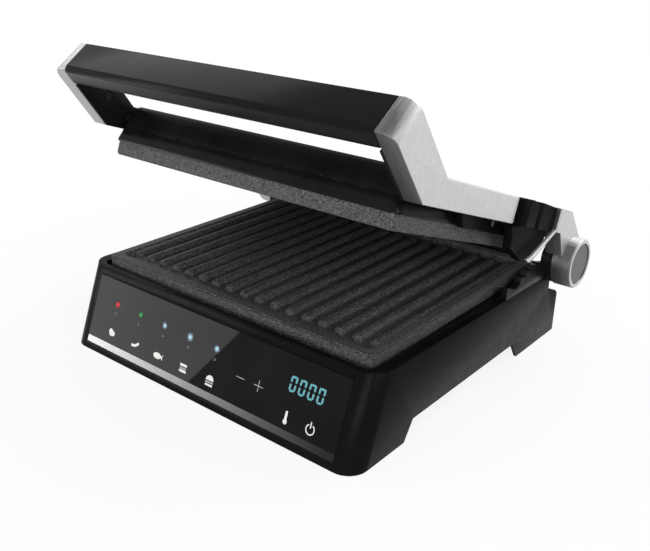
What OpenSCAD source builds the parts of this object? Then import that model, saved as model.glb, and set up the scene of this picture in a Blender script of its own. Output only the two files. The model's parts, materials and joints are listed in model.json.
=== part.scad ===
// Electric contact grill: a wedge-fronted base with a touch panel, a ribbed plate
// set in its top, and a floating lid carried by two cranked arms that fold flat.
// +X is the right-hand side, +Y the rear, +Z up. The origin is on the table at
// the middle of the base. Lid parts are drawn closed and swung open on the hinge.

/* [Base] */
// Width of the base housing
base_w = 341; // [320:1:370]
// Depth of the base housing
base_d = 335; // [325:1:355]
// Height of the housing at its front edge
front_h = 76; // [74:0.5:79]
// Height of the housing's deck at the hinge
rear_h = 69; // [67:0.5:70]
// Depth of the step behind the hinge
step_d = 25; // [24:0.5:27]
// Height of that step
step_h = 53; // [50:0.5:56]
// Height of the housing's rear face
back_h = 40; // [39.5:0.5:42]
// Lean of the front face back from upright, in degrees
front_lean = 21; // [14:0.5:23]
// Radius of the upright front corners
corner_r = 18; // [12:1:24]
// Radius of the upright rear corners
rear_corner_r = 4; // [4:1:12]
// Bevel along the top edges
edge_bevel = 1.6; // [0.8:0.1:2.4]
// Wall of the base housing
base_wall = 2.6; // [2:0.1:3.4]
// Height of the arch between the front and rear feet
arch_h = 17; // [12:0.5:18]
// Length of the front foot along the side
front_foot = 66; // [55:1:80]
// Length of the rear foot along the side
rear_foot = 80; // [65:1:90]
// Run of the sloping ends of the arch
arch_slope = 12; // [6:1:18]
// Thickness of the bottom cover
cover_t = 2.4; // [2:0.1:3]
// Radius of a rubber foot
foot_r = 9; // [7:0.5:11]
// Height of a rubber foot
foot_h = 4; // [3:0.5:5]

/* [Control panel] */
// Distance from the base's side to the glass
glass_side = 20.5; // [18.5:0.5:40]
// Height of the glass along the lean
glass_h = 58.8; // [54:0.2:60]
// Thickness of the glass
glass_t = 2; // [1.5:0.1:2.4]
// Height of the bright strip below the glass
trim_h = 6.2; // [4:0.2:7]
// Border below the strip, along the lean
border_h = 6.9; // [5:0.1:7.5]
// Spacing of the programme lamps and symbols
lamp_pitch = 32.8; // [28:0.1:34]
// Number of programme lamps
lamp_n = 5; // [3:1:6]
// Distance from the glass's left-hand side to the first lamp
lamp_side = 30.8; // [22:0.1:34]
// Height of the lamps above the foot of the panel, along the lean
lamp_z = 50.8; // [46:0.1:54]
// Width of the four-digit display
display_w = 50; // [46:0.5:54]
// Height of the four-digit display
display_h = 19; // [17:0.5:21]
// Distance from the glass's right-hand side to the middle of the display
display_side = 38; // [36:0.5:42]

/* [Cooking plates] */
// Distance from the base's side to the plate
plate_side = 15.5; // [14.5:0.5:25]
// Distance from the base's rear face to the plate
plate_rear = 38.5; // [37.5:0.5:60]
// Thickness of a plate over its rim
plate_t = 12.2; // [11.5:0.1:13]
// Thickness of a plate's floor
plate_floor = 7.2; // [6.5:0.1:8]
// Width of the rim at its top
rim_w = 7.5; // [6:0.5:9]
// Corner radius of a plate
plate_r = 4; // [3:0.5:10]
// Distance from the base's front edge to the plate
plate_front = 39.5; // [38:0.5:44]
// Width of the open channel in front of the plate
front_channel = 6; // [3:0.5:7]
// Width of the open channel at each side of the plate
side_channel = 4; // [2:0.5:4.5]
// Height of the lower plate's underside
plate_z = 71; // [70:0.1:71.4]
// Number of ridges
ridge_n = 17; // [11:1:17]
// Distance from the plate's side to the middle of its outermost ridge
ridge_side = 14.2; // [13.9:0.1:20]
// Height of a ridge above the plate's floor
ridge_h = 4.6; // [3:0.1:5]
// Half width of a ridge at its foot
ridge_foot = 5.2; // [4.6:0.1:5.4]
// Gap from the plate's front edge to the ends of the ridges
ridge_front = 20; // [16:0.5:26]
// Gap from the plate's rear edge to the ends of the ridges
ridge_rear = 18; // [14:0.5:24]
// Half width of the heating element
heater_r = 3.2; // [2.8:0.1:3.2]
// Radius of the drain hole
drain_r = 3; // [2.5:0.1:3.2]

/* [Hinge] */
// Height of the hinge above the table
hinge_z = 86; // [85.5:0.5:90]
// How far the lid stands open, in degrees from closed
open_angle = 19.9; // [10:0.1:40]
// Radius of the hinge barrel
barrel_r = 23.8; // [22.5:0.1:24]
// Gap from the barrel's back to the back of the base
barrel_inset = 0.4; // [0.2:0.1:2]
// Length of the hinge barrel
barrel_len = 18.4; // [17:0.2:20]
// Radius of the hinge pin
pin_r = 6; // [4:0.5:7]
// Thickness of a hinge tower
tower_t = 10; // [8:0.5:11]
// Radius of the tower's boss round the pin
tower_boss_r = 13; // [11:0.5:14]
// Length of the toothed tower from front to back
tower_len = 89.5; // [84:0.5:92]
// Length of the plain tower on the left
plain_len = 30; // [28:1:40]
// Number of teeth along a tower
tooth_n = 3; // [2:1:3]
// Spacing of the teeth
tooth_pitch = 10.7; // [10:0.1:11]
// Rise of each tooth
tooth_rise = 5.7; // [4:0.1:6]
// Fall along the back of each tooth
tooth_fall = 2.6; // [1:0.1:3]
// Radius of the rounded top of the rear cowl, about the hinge's axis
cowl_r = 12.5; // [11:0.1:12.7]
// Gap from the cowl's end to the tower's inner face
cowl_gap = 12; // [8:1:20]
// Length of the collar between tower and barrel
collar_len = 8.5; // [8:0.1:9.5]
// Radius of the collar
collar_r = 23; // [20:0.5:23.2]
// Radius of the round push button in the barrel
button_r = 19; // [16:0.5:19.5]
// Travel of the push button
button_travel = 3; // [1.5:0.1:3]

/* [Arms and handle] */
// Distance from the base's side in to an arm's inner face
arm_inset = 5.5; // [4.5:0.5:6.5]
// Thickness of an arm
arm_t = 16; // [14:0.5:17]
// Height of an arm's lower edge above the hinge, closed
arm_low = 23.2; // [22:0.1:25]
// Depth of an arm
arm_depth = 22.1; // [20:0.1:24]
// Angle of the riser up to the handle, in degrees
riser_angle = 35; // [30:0.5:38]
// Height of the handle's face
handle_face = 33; // [30:0.5:35]
// Depth of the handle from front to back
handle_depth = 19; // [16:0.5:21]
// Distance from the upper plate's front edge to the handle's lower front edge
tip_ahead = 64.6; // [57:0.2:70]
// Height of that edge above the hinge
tip_rise = 61.8; // [58:0.5:64]
// Radius of the arm's outer front corner
arm_end_r = 12; // [6:0.5:14]
// Thickness of the inner liner of an arm
liner_t = 2.2; // [1.6:0.1:2.8]
// Where the arm's thick outer part stops behind, from the hinge
arm_stop = 115; // [112:0.5:117]
// Radius with which that part curves in to its rear end
stop_r = 40; // [20:1:60]
// Front edge of the hinge leg, from the hinge
leg_front = 51.5; // [48:0.5:53]
// Rear edge of the hinge leg's top, from the hinge
leg_rear = 27; // [26.5:0.5:32]
// Thickness of the hinge leg outside the collar
leg_t = 15.6; // [14:0.2:16]

/* [Lid] */
// Distance from an arm's inner face to the side of the lid's cover
lid_side = 9.5; // [9:0.5:14]
// Height of the lid's top above the hinge, closed
lid_top = 46.5; // [44:0.5:48]
// Height of the parting line between cover and frame
lid_parting = 25.6; // [25.4:0.1:27]
// Lean of the lid's front face, in degrees
lid_lean = 20; // [12:0.5:24]
// How far the top of the lid's rear face leans forward, clear of the base when flat open
lid_rear_lean = 16; // [14:0.5:24]
// Flare of the skirt below the parting line
skirt_flare = 2.6; // [1:0.1:3]
// Corner radius of the lid
lid_r = 6; // [5:0.5:12]
// Wall of the lid's mouldings
lid_wall = 2.4; // [2:0.1:3]
// Distance of the lid's pivot behind the middle of the plate
pivot_behind = 8.8; // [0:0.2:18]
// Height of the lid's pivot above the hinge
pivot_w = 19.5; // [19.4:0.1:19.9]
// Radius of the lid's pivot pins
pivot_r = 2.6; // [2:0.1:2.7]

/* [Drip tray] */
// Width of the drip tray
tray_w = 136; // [110:1:140]
// Length of the drip tray
tray_l = 112; // [106:1:118]
// Height of the drip tray
tray_h = 11; // [9:0.2:12]
// Wall of the drip tray
tray_wall = 1.8; // [1.4:0.1:2.4]

/* [Clearances] */
// Gap between seated faces
seat_gap = 0.15; // [0.1:0.05:0.3]
// Gap round a panel in its opening
panel_gap = 0.4; // [0.3:0.05:0.6]
// Gap round the button and the disc in the barrels
button_gap = 0.6; // [0.4:0.05:0.8]
// Gap between parts that move past each other
move_gap = 0.5; // [0.4:0.05:0.8]
// Radial clearance of a turning pin
run_gap = 0.05; // [0.03:0.01:0.08]
// Radial clearance of a fixed pin
fix_gap = 0.02; // [0.01:0.01:0.04]

/* [Hidden] */
$fn = 48;

black = [0.07, 0.07, 0.075];
dark = [0.13, 0.13, 0.14];
silver = [0.70, 0.71, 0.72];
steel = [0.62, 0.62, 0.62];
castiron = [0.19, 0.19, 0.20];
board_green = [0.10, 0.30, 0.18];

sole = foot_h / 4;                 // underside of the housing's feet
lean = tan(front_lean);
through = 1;                       // how far a cutter runs past a face
hull_fn = 32;
sheet = 0.8;                       // sheet steel
front_edge = -base_d / 2;
back_edge = base_d / 2;
half_w = base_w / 2;
glass_w = base_w - 2 * glass_side;
lamp_x = lamp_side - glass_w / 2;
display_x = glass_w / 2 - display_side;

function front_y(z) = front_edge + (z - sole) * lean;
deck_y0 = front_y(front_h);
step_y = back_edge - step_d;
deck_fall = (front_h - rear_h) / (step_y - deck_y0);
function deck_z(y) = front_h - (y - deck_y0) * deck_fall;

plate_w = base_w - 2 * plate_side;
plate_d = base_d - plate_front - plate_rear;
ridge_pitch = (plate_w - 2 * ridge_side) / (ridge_n - 1);
plate_y0 = front_edge + plate_front;
plate_y1 = plate_y0 + plate_d;
plate_yc = (plate_y0 + plate_y1) / 2;

hinge_y = back_edge - barrel_r - barrel_inset;
collar_x = half_w + seat_gap;
barrel_x = collar_x + collar_len + seat_gap;
barrel_end = barrel_x + barrel_len;
leg_out = collar_x + leg_t + 1.2;
leg_in = leg_out - leg_t;
tower_in = half_w - tower_t;

arm_in = half_w - arm_inset;
arm_out = arm_in + arm_t;
lid_w = 2 * (arm_in - lid_side);
arm_high = arm_low + arm_depth;
arm_core = leg_in - seat_gap;      // outer face of the arm's thin rear part
cover_out = leg_out - 3.6;         // outer face of the black hinge cover

plate_u1 = hinge_y - plate_y0;     // front edge of the upper plate from the hinge
plate_u0 = hinge_y - plate_y1;     // its rear edge
plate_uc = (plate_u0 + plate_u1) / 2;
pivot_u = plate_uc - pivot_behind;
tip_reach = plate_u1 + tip_ahead;

cover_z0 = sole + arch_h + 1.6;
cover_z1 = cover_z0 + cover_t;
reflector_z = plate_z - 11;

// ---------- placing and drawing helpers ----------

// Draws a shape on both sides of the middle
module both_sides() {
    children();
    mirror([1, 0, 0]) children();
}

// Runs a (y, z) outline from x0 to x1
module along_x(x0, x1) {
    translate([x0, 0, 0]) rotate([90, 0, 90]) linear_extrude(x1 - x0) children();
}

// Runs a lid outline, given as (distance in front of the hinge, height), from x0 to x1
module side_form(x0, x1) {
    mirror([0, 1, 0]) along_x(x0, x1) children();
}

// Swings closed lid parts open about the hinge
module on_hinge() {
    translate([0, hinge_y, hinge_z]) rotate([-open_angle, 0, 0]) children();
}

// Frame of the handle: origin at its lower front edge, -Y out of its face, Z up its face
module on_riser() {
    translate([0, -tip_reach, tip_rise]) rotate([-riser_angle, 0, 0]) children();
}

// Frame of the front panel: origin at its foot, Y into the base, Z up the lean
module on_panel() {
    translate([0, front_edge, sole]) rotate([-front_lean, 0, 0]) children();
}

// Round rod along X
module rod_x(x0, x1, r) {
    translate([x0, 0, 0]) rotate([0, 90, 0]) cylinder(r = r, h = x1 - x0);
}

// Rectangle with round corners, centred
module round_rect(w, d, r) {
    square([w - 2 * r, d], center = true);
    square([w, d - 2 * r], center = true);
    for (x = [-1, 1], y = [-1, 1]) translate([x * (w / 2 - r), y * (d / 2 - r)]) circle(r);
}

// Touching point of the line from p to a circle of radius r about the origin
function tangent_point(p, r) =
    let (a = atan2(p[1], p[0]) + acos(r / norm(p))) [r * cos(a), r * sin(a)];

// ---------- base housing ----------

// Leaning corner posts joined into the housing's plan
module corner_posts(inset, z0, z1) {
    hull() for (side = [-1, 1]) {
        for (z = [z0, z1])
            translate([side * (half_w - corner_r), front_y(z) + corner_r, z])
                cylinder(r = corner_r - inset, h = 0.01, $fn = hull_fn);
        translate([side * (half_w - rear_corner_r), back_edge - rear_corner_r, z0])
            cylinder(r = rear_corner_r - inset, h = z1 - z0, $fn = hull_fn);
    }
}

// Side outline of the housing, drawn in by inset and cut off at z0
module base_outline(inset, z0) {
    top = front_h - inset;
    face_in = inset / cos(front_lean);
    bevel = edge_bevel;
    step_in = step_y - inset;
    back_in = back_edge - inset;
    polygon([
        [front_y(z0) + face_in, z0],
        [front_y(top - 2 * bevel) + face_in, top - 2 * bevel],
        [front_y(top - bevel / 2) + face_in + bevel / 2, top - bevel / 2],
        [front_y(top) + face_in + 2 * bevel, deck_z(front_y(top) + 2 * bevel) - inset],
        [step_in - bevel, deck_z(step_in - bevel) - inset],
        [step_in, deck_z(step_in) - inset - bevel],
        [step_in, step_h - inset * 0.7],
        [back_in - 8.5, back_h + 6 - inset],
        [back_in - 1, back_h - inset],
        [back_in, back_h - inset - bevel],
        [back_in, z0]
    ]);
}

// Whole form of the housing, drawn in by inset
module base_form(inset, z0) {
    intersection() {
        corner_posts(inset, z0, front_h + through);
        along_x(-base_w, base_w) base_outline(inset, z0);
    }
}

// Arch between the feet, seen from the side
module arch_cut() {
    z_top = sole + arch_h;
    y0 = front_edge + front_foot;
    y1 = back_edge - rear_foot;
    along_x(-base_w, base_w) polygon([
        [y0, sole - through], [y0 + arch_slope, z_top],
        [y1 - arch_slope, z_top], [y1, sole - through]
    ]);
}

rear_channel = 1.4;                // width of the channel behind the plate
seat_z0 = plate_z - 2.15;          // underside of the plate's ledge
ledge_in = 2.2;                    // how far the ledge reaches in under the plate
glass_z0 = border_h + trim_h + seat_gap;
glass_z1 = glass_z0 + glass_h;
window_lip = 8;
board_y = 7;
board_t = 1.6;
boss_r = 4;
screw_r = 1.5;
screw_spots = [for (x = [-1, 1], y = [-0.30, -0.02, 0.20])
    [x * (half_w - base_wall - boss_r + 0.6), y * base_d]];
screw_len = 14;
tray_x = tray_w / 2;
tray_z0 = cover_z1 + move_gap;
tray_y0 = back_edge - tray_l;
gland_side = 45;                   // from the drip tray's side to the cord gland
gland_x = -(tray_x + gland_side);
board_z0 = (cover_z1 + move_gap + (board_y + board_t) * sin(front_lean)) / cos(front_lean);
board_spots = [for (x = [-1, 1], z = [board_z0 + 4, glass_z1 - 4.5]) [x * (glass_w / 2 - 4), z]];
gland_r = 5;
gland_z = cover_z1 + gland_r + 2;
tower_y1 = step_y;
tower_y0 = tower_y1 - tower_len;
plain_y0 = tower_y1 - plain_len;
tongue_t = tower_t - base_wall - 2 * seat_gap;
tongue_y1 = tower_y1 - 5;
function tongue_y0(side) = side > 0 ? tower_y0 + 13.5 : plain_y0 + 3;
tongue_z0 = cover_z1 + 18;

// Outline of the well round the lower plate, grown by grow
module well_outline(grow) {
    y0 = plate_y0 - front_channel;
    y1 = plate_y1 + rear_channel;
    translate([0, (y0 + y1) / 2])
        round_rect(plate_w + 2 * (side_channel + grow), y1 - y0 + 2 * grow, plate_r + side_channel + grow);
}

// Wall of the well up to the deck, and the ledge that the plate stands on
module plate_seat() {
    ledge = plate_z - seat_gap - seat_z0;
    wall = 1.3;
    intersection() {
        translate([0, 0, seat_z0]) linear_extrude(front_h) difference() {
            well_outline(wall);
            well_outline(0);
        }
        along_x(-half_w, half_w) polygon([
            [front_edge, 0], [back_edge, 0],
            [back_edge, deck_z(back_edge) - 1], [front_edge, deck_z(front_edge) - 1]
        ]);
    }
    translate([0, 0, seat_z0]) linear_extrude(ledge) difference() {
        well_outline(wall);
        translate([0, plate_yc]) round_rect(plate_w - 2 * ledge_in, plate_d - 2 * ledge_in, plate_r);
    }
}

module base_shell() {
    color(black) difference() {
        union() {
            difference() {
                base_form(0, sole);
                base_form(base_wall, sole - through);
                translate([0, 0, seat_z0 - base_wall]) linear_extrude(front_h) well_outline(0);
            }
            plate_seat();
            for (p = screw_spots) translate([p[0], p[1], cover_z1 + seat_gap])
                cylinder(r = boss_r, h = screw_len + 3);
            on_panel() for (p = board_spots) translate([p[0], 0, p[1]]) rotate([-90, 0, 0])
                cylinder(r = 3, h = board_y - seat_gap);
        }
        arch_cut();
        // pocket and window for the glass and the strip
        on_panel() {
            translate([-glass_w / 2 - panel_gap, -through, border_h - panel_gap])
                cube([glass_w + 2 * panel_gap, glass_t + seat_gap + through - 0.3,
                    glass_z1 - border_h + 2 * panel_gap]);
            translate([-glass_w / 2 + window_lip, -through, glass_z0 + window_lip])
                cube([glass_w - 2 * window_lip, base_wall + 2 * through, glass_h - 2 * window_lip]);
        }
        // slot for the drip tray
        translate([-tray_x - move_gap, back_edge - base_wall - through, tray_z0 - move_gap])
            cube([tray_w + 2 * move_gap, base_wall + 2 * through, tray_h + 2 * move_gap]);
        // hole for the cord gland
        translate([gland_x, back_edge + through, gland_z]) rotate([90, 0, 0])
            cylinder(r = gland_r + fix_gap, h = base_wall + 2 * through);
        // slots in the deck for the tongues of the hinge towers
        for (side = [-1, 1])
            translate([side * (tower_in + tongue_t / 2) - tongue_t / 2 - seat_gap, tongue_y0(side) - seat_gap,
                rear_h - 12])
                cube([tongue_t + 2 * seat_gap, tongue_y1 - tongue_y0(side) + 2 * seat_gap, 24]);
        // screw holes
        for (p = screw_spots) translate([p[0], p[1], 0])
            cylinder(r = screw_r + fix_gap, h = cover_z1 + screw_len);
    }
}

foot_spots = [for (x = [-1, 1], y = [front_edge + 36, back_edge - 28]) [x * (half_w - 34), y]];
post_spots = [for (x = [-1, 1], y = [0.12, 0.8]) [x * plate_w * 0.36, plate_y0 + plate_d * y]];
vent_n = 9;
vent_pitch = 11;
vent_x = 62;
vent_y = -45;
vent_len = 36;
vent_slot = 3.2;

module bottom_cover() {
    color(dark) difference() {
        union() {
            intersection() {
                corner_posts(base_wall + panel_gap, cover_z0 - 12, cover_z1 + 12);
                translate([-base_w, -base_d, cover_z0]) cube([2 * base_w, 2 * base_d, cover_t]);
            }
            for (p = foot_spots) translate([p[0], p[1], foot_h])
                cylinder(r = foot_r + 2, h = cover_z1 - foot_h);
            for (p = post_spots) translate([p[0], p[1], cover_z0])
                cylinder(r = 5, h = reflector_z - cover_z0 - seat_gap);
        }
        for (p = screw_spots) translate([p[0], p[1], cover_z0 - through])
            cylinder(r = screw_r + 0.3, h = cover_t + 2 * through);
        for (x = [-1, 1], i = [0 : vent_n - 1])
            translate([x * vent_x - vent_len / 2, (i - (vent_n - 1) / 2) * vent_pitch + vent_y,
                cover_z0 - through])
                cube([vent_len, vent_slot, cover_t + 2 * through]);
        for (p = foot_spots) translate([p[0], p[1], foot_h - through])
            cylinder(r = 3 + fix_gap, h = 5 + through);
    }
}

module rubber_feet() {
    color([0.05, 0.05, 0.05]) for (p = foot_spots) translate([p[0], p[1], 0]) {
        cylinder(r1 = foot_r - 0.8, r2 = foot_r, h = 0.8);
        translate([0, 0, 0.8]) cylinder(r = foot_r, h = foot_h - 0.8);
        cylinder(r = 3, h = foot_h + 4.5);
    }
}

// Pan-headed screw pointing up from z = 0, its head below
module screw(r, len, head_r, head_h) {
    cylinder(r = r, h = len);
    translate([0, 0, -head_h]) difference() {
        cylinder(r = head_r, h = head_h);
        translate([0, 0, -through]) cylinder(r = r * 0.7, h = through + head_h / 2);
    }
}

module bottom_screws() {
    color(steel) for (p = screw_spots) translate([p[0], p[1], cover_z0 - fix_gap])
        screw(screw_r, screw_len, 3, 1.8);
}

// ---------- control panel ----------

module control_glass() {
    color([0.02, 0.02, 0.025]) on_panel()
        translate([-glass_w / 2, -0.3, glass_z0]) cube([glass_w, glass_t, glass_h]);
}

module trim_strip() {
    color([0.78, 0.78, 0.78]) on_panel()
        translate([-glass_w / 2, -0.3, border_h]) cube([glass_w, glass_t, trim_h]);
}

module control_board() {
    color(board_green) on_panel() difference() {
        translate([-glass_w / 2, board_y, board_z0]) cube([glass_w, board_t, glass_z1 - 1 - board_z0]);
        for (p = board_spots) translate([p[0], board_y - through, p[1]]) rotate([-90, 0, 0])
            cylinder(r = 1.6, h = board_t + 2 * through);
    }
}

module display_module() {
    color([0.05, 0.05, 0.06]) on_panel()
        translate([display_x - display_w / 2, glass_t, lamp_z - display_h / 2])
            cube([display_w, board_y - glass_t - seat_gap, display_h]);
}

module indicator_leds() {
    color([0.75, 0.80, 0.85]) on_panel() for (i = [0 : lamp_n - 1])
        translate([lamp_x + i * lamp_pitch, board_y - seat_gap, lamp_z])
            rotate([90, 0, 0]) {
                cylinder(r = 2.4, h = 1.2);
                cylinder(r = 1.8, h = board_y - glass_t - 0.6);
            }
}

power_w = 68;
power_d = 70;
power_side = 22;                   // from the housing's wall to the power board
power_gap = 5;                     // from the power board to the drip tray
standoff_h = 5;
standoff_r = 3;
standoff_in = 5;                   // from the board's edge to a standoff's middle
relay = [19, 16, 15];
relay_at = [8, 12];
transformer = [24, 20, 17];
transformer_at = [34, 12];
terminals = [40, 10, 10];
terminals_at = [12, 46];

// Component of a given size standing on a board that lies at z = 0
module component(size, at) {
    translate([at[0], at[1], 0]) cube([size[0], size[1], board_t + size[2]]);
}

// Power board on its standoffs, with relay, transformer and terminals
module power_board() {
    translate([-(half_w - base_wall - power_side), tray_y0 - power_gap - power_d, cover_z1 + seat_gap]) {
        color(board_green) translate([0, 0, standoff_h]) cube([power_w, power_d, board_t]);
        color(board_green) for (x = [standoff_in, power_w - standoff_in])
            for (y = [standoff_in, power_d - standoff_in])
                translate([x, y, 0]) cylinder(r = standoff_r, h = standoff_h);
        color(dark) translate([0, 0, standoff_h]) {
            component(relay, relay_at);
            component(transformer, transformer_at);
            component(terminals, terminals_at);
        }
    }
}

module cord_gland() {
    color([0.04, 0.04, 0.04]) translate([gland_x, back_edge, gland_z]) rotate([90, 0, 0])
        difference() {
            union() {
                cylinder(r = gland_r, h = base_wall + 8);
                translate([0, 0, base_wall + seat_gap]) cylinder(r = gland_r + 1.5, h = 2.5);
            }
            translate([0, 0, -through]) cylinder(r = gland_r - 1.8, h = base_wall + 8 + 2 * through);
        }
}

// ---------- cooking plates ----------

// Half of a ridge's cross-section, from its middle outward: a flat arch, with its root below
module ridge_half() {
    arch_r = (pow(ridge_foot, 2) + pow(ridge_h, 2)) / (2 * ridge_h);
    root = 0.5;
    translate([0, -root]) square([ridge_foot, root]);
    intersection() {
        translate([0, ridge_h - arch_r]) circle(arch_r, $fn = 64);
        square([ridge_foot, ridge_h]);
    }
}

// Ridge with rounded ends, lying along Y
module ridge(len) {
    straight = len - 2 * ridge_foot;
    translate([0, straight / 2, 0]) rotate([90, 0, 0]) linear_extrude(straight) {
        ridge_half();
        mirror([1, 0]) ridge_half();
    }
    for (y = [-1, 1]) translate([0, y * straight / 2, 0]) rotate_extrude() ridge_half();
}

drain_x = ridge_pitch / 2;
drain_y = plate_d / 2 - rim_w - 1.2 - (plate_t - plate_floor) - drain_r - 0.4;

// Sunken field of a plate, its walls sloping out to the rim
module plate_recess() {
    depth = plate_t - plate_floor;
    hull() for (step = [0, 1], x = [-1, 1], y = [-1, 1]) {
        edge = rim_w + 1.2 + plate_r + (1 - step) * depth;
        translate([x * (plate_w / 2 - edge), y * (plate_d / 2 - edge), plate_floor + step * depth])
            cylinder(r = plate_r, h = 0.01 + step * through, $fn = hull_fn);
    }
}

// Ribbed plate, rim up, underside at z = 0, with a drain between two ridges at the rear
module grill_plate() {
    difference() {
        union() {
            difference() {
                union() {
                    linear_extrude(plate_t - 1.2) round_rect(plate_w, plate_d, plate_r);
                    linear_extrude(plate_t) round_rect(plate_w - 2.4, plate_d - 2.4, plate_r - 1.2);
                }
                plate_recess();
            }
            for (i = [0 : ridge_n - 1])
                translate([(i - (ridge_n - 1) / 2) * ridge_pitch, (ridge_front - ridge_rear) / 2, plate_floor])
                    ridge(plate_d - ridge_front - ridge_rear);
        }
        translate([drain_x, drain_y, -through]) cylinder(r = drain_r, h = plate_t);
    }
}

// Heating element pressed flat, in four runs joined by bends, with a terminal at each end
module heater_strip(w, d) {
    gap = d / 3;
    bend = gap / 2;
    linear_extrude(2 * heater_r) {
        for (i = [0 : 3]) translate([0, (i - 1.5) * gap]) square([w, 2 * heater_r], center = true);
        for (i = [0 : 2]) translate([(i == 1 ? -1 : 1) * w / 2, (i - 1) * gap]) intersection() {
            difference() {
                circle(bend + heater_r);
                circle(bend - heater_r);
            }
            translate([i == 1 ? -2 * bend : 0, -2 * bend]) square([2 * bend, 4 * bend]);
        }
    }
    for (y = [-1.5, 1.5]) translate([0, y * gap, heater_r])
        rod_x(-w / 2 - terminal_len, -w / 2 + heater_r, heater_r * 0.6);
}

// Sheet-steel pan with a turned-out flange
module heat_pan(w, d, h) {
    difference() {
        union() {
            linear_extrude(h) round_rect(w, d, 8);
            translate([0, 0, h - sheet]) linear_extrude(sheet) round_rect(w + 6, d + 6, 10);
        }
        translate([0, 0, sheet]) linear_extrude(h) round_rect(w - 2 * sheet, d - 2 * sheet, 8 - sheet);
    }
}

terminal_len = 16;
heater_d = plate_d * 0.62;
heater_side = 39.9933;             // from the plate's side to the bends of the heating element
heater_w = plate_w - 2 * (heater_side + heater_d / 6 + heater_r);
pan_w = plate_w - 12;
pan_d = plate_d - 12;
pan_h = plate_z - reflector_z - seat_gap;
clip_in = 9;                       // from the pan's side to a lower clip
clip_shift = 17;                   // how much further in the upper clips stand
clip_spots = [for (x = [-1, 1], y = [-0.28, 0.28]) [x * (pan_w / 2 - clip_in), y * pan_d]];
sensor_r = 7;

module lower_plate() {
    color(castiron) translate([0, plate_yc, plate_z]) grill_plate();
}

module lower_heater() {
    color(steel) translate([0, plate_yc, plate_z - 2 * heater_r - seat_gap])
        heater_strip(heater_w, heater_d);
}

module lower_reflector() {
    color(steel) translate([0, plate_yc, reflector_z]) difference() {
        heat_pan(pan_w, pan_d, pan_h);
        translate([drain_x, drain_y, -through]) cylinder(r = drain_r + 1.5, h = 2 * through + sheet);
    }
}

// Spring clip with a sloping nose, standing on the pan
module plate_clip(h) {
    translate([-6, -5, 0]) cube([12, 10, h - 3]);
    translate([-6, -3, 0]) cube([12, 6, h]);
}

module lower_clips() {
    color(steel) for (p = clip_spots)
        translate([p[0], plate_yc + p[1], reflector_z + sheet + seat_gap])
            plate_clip(pan_h - sheet - seat_gap);
}

module lower_sensor() {
    color(silver) translate([0, plate_yc, reflector_z + sheet + seat_gap]) {
        cylinder(r = sensor_r + 2, h = 1.5);
        cylinder(r = sensor_r, h = pan_h - sheet - seat_gap);
    }
}

// ---------- base side of the hinge ----------

// Outline of the toothed tower above the deck: front horn, saw teeth, then the boss
module toothed_outline() {
    foot = deck_z(tower_y0);
    tooth_y = tower_y1 - tooth_n * tooth_pitch - 32.4;
    valley = foot + 8;
    step_up = tooth_rise - tooth_fall;
    teeth = [for (i = [0 : tooth_n - 1]) each [
        [tooth_y + i * tooth_pitch, valley + i * step_up],
        [tooth_y + i * tooth_pitch + 0.6, valley + i * step_up + tooth_rise],
        [tooth_y + (i + 1) * tooth_pitch, valley + (i + 1) * step_up]
    ]];
    last = valley + tooth_n * step_up;
    polygon(concat(
        [[tower_y1, deck_z(tower_y1) + seat_gap], [tower_y0, foot + seat_gap],
            [tower_y0, foot + 11.2], [tower_y0 + 2, foot + 11.2], [tower_y0 + 12, foot + 6.6],
            [tower_y0 + 18, foot + 5.3]],
        teeth,
        [[tower_y1 - 31.7, last + 1.5], [tower_y1 - 24, last - 0.8], [tower_y1 - 12, hinge_z - 2],
            [tower_y1, hinge_z - 8]]
    ));
}

// Outline of the plain tower above the deck
module plain_outline() {
    polygon([
        [tower_y1, deck_z(tower_y1) + seat_gap], [plain_y0, deck_z(plain_y0) + seat_gap],
        [plain_y0, hinge_z - 4], [plain_y0 + 6, hinge_z + 1], [tower_y1 - 12, hinge_z - 2],
        [tower_y1, hinge_z - 8]
    ]);
}

// Inner web of a tower, low behind so that it clears the pin
module web_outline() {
    polygon([
        [tower_y1, deck_z(tower_y1) + seat_gap], [plain_y0, deck_z(plain_y0) + seat_gap],
        [plain_y0, hinge_z - 6], [tower_y1 - 22, hinge_z - 4], [tower_y1 - 16, hinge_z - 10],
        [tower_y1, hinge_z - 12]
    ]);
}

tower_web = 3.5;                   // thickness of a tower's inner web

module hinge_tower(side) {
    blade_in = tower_in + tower_web;
    mirror([side < 0 ? 1 : 0, 0, 0]) color(black) difference() {
        union() {
            along_x(blade_in, half_w) if (side > 0) toothed_outline(); else plain_outline();
            along_x(tower_in, blade_in) web_outline();
            translate([0, hinge_y, hinge_z]) rod_x(blade_in, half_w, tower_boss_r);
            translate([tower_in, tongue_y0(side), tongue_z0])
                cube([tongue_t, tongue_y1 - tongue_y0(side), hinge_z - 14 - tongue_z0]);
        }
        translate([0, hinge_y, hinge_z]) rod_x(tower_in - through, half_w + through, pin_r + fix_gap);
    }
}

module hinge_tower_left() hinge_tower(-1);
module hinge_tower_right() hinge_tower(1);

// Grooved ring between the tower and the turning barrel
module hinge_collar(side) {
    groove = 0.8;
    mirror([side < 0 ? 1 : 0, 0, 0]) color(black) translate([0, hinge_y, hinge_z]) difference() {
        union() {
            rod_x(collar_x, collar_x + collar_len, collar_r - groove);
            for (i = [0 : 2]) translate([collar_x + i * (collar_len - 1.9) / 2, 0, 0])
                rod_x(0, 1.9, collar_r);
        }
        rod_x(collar_x - through, collar_x + collar_len + through, pin_r + fix_gap);
    }
}

module hinge_collar_left() hinge_collar(-1);
module hinge_collar_right() hinge_collar(1);

pin_end = barrel_x + 5.5;

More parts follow.
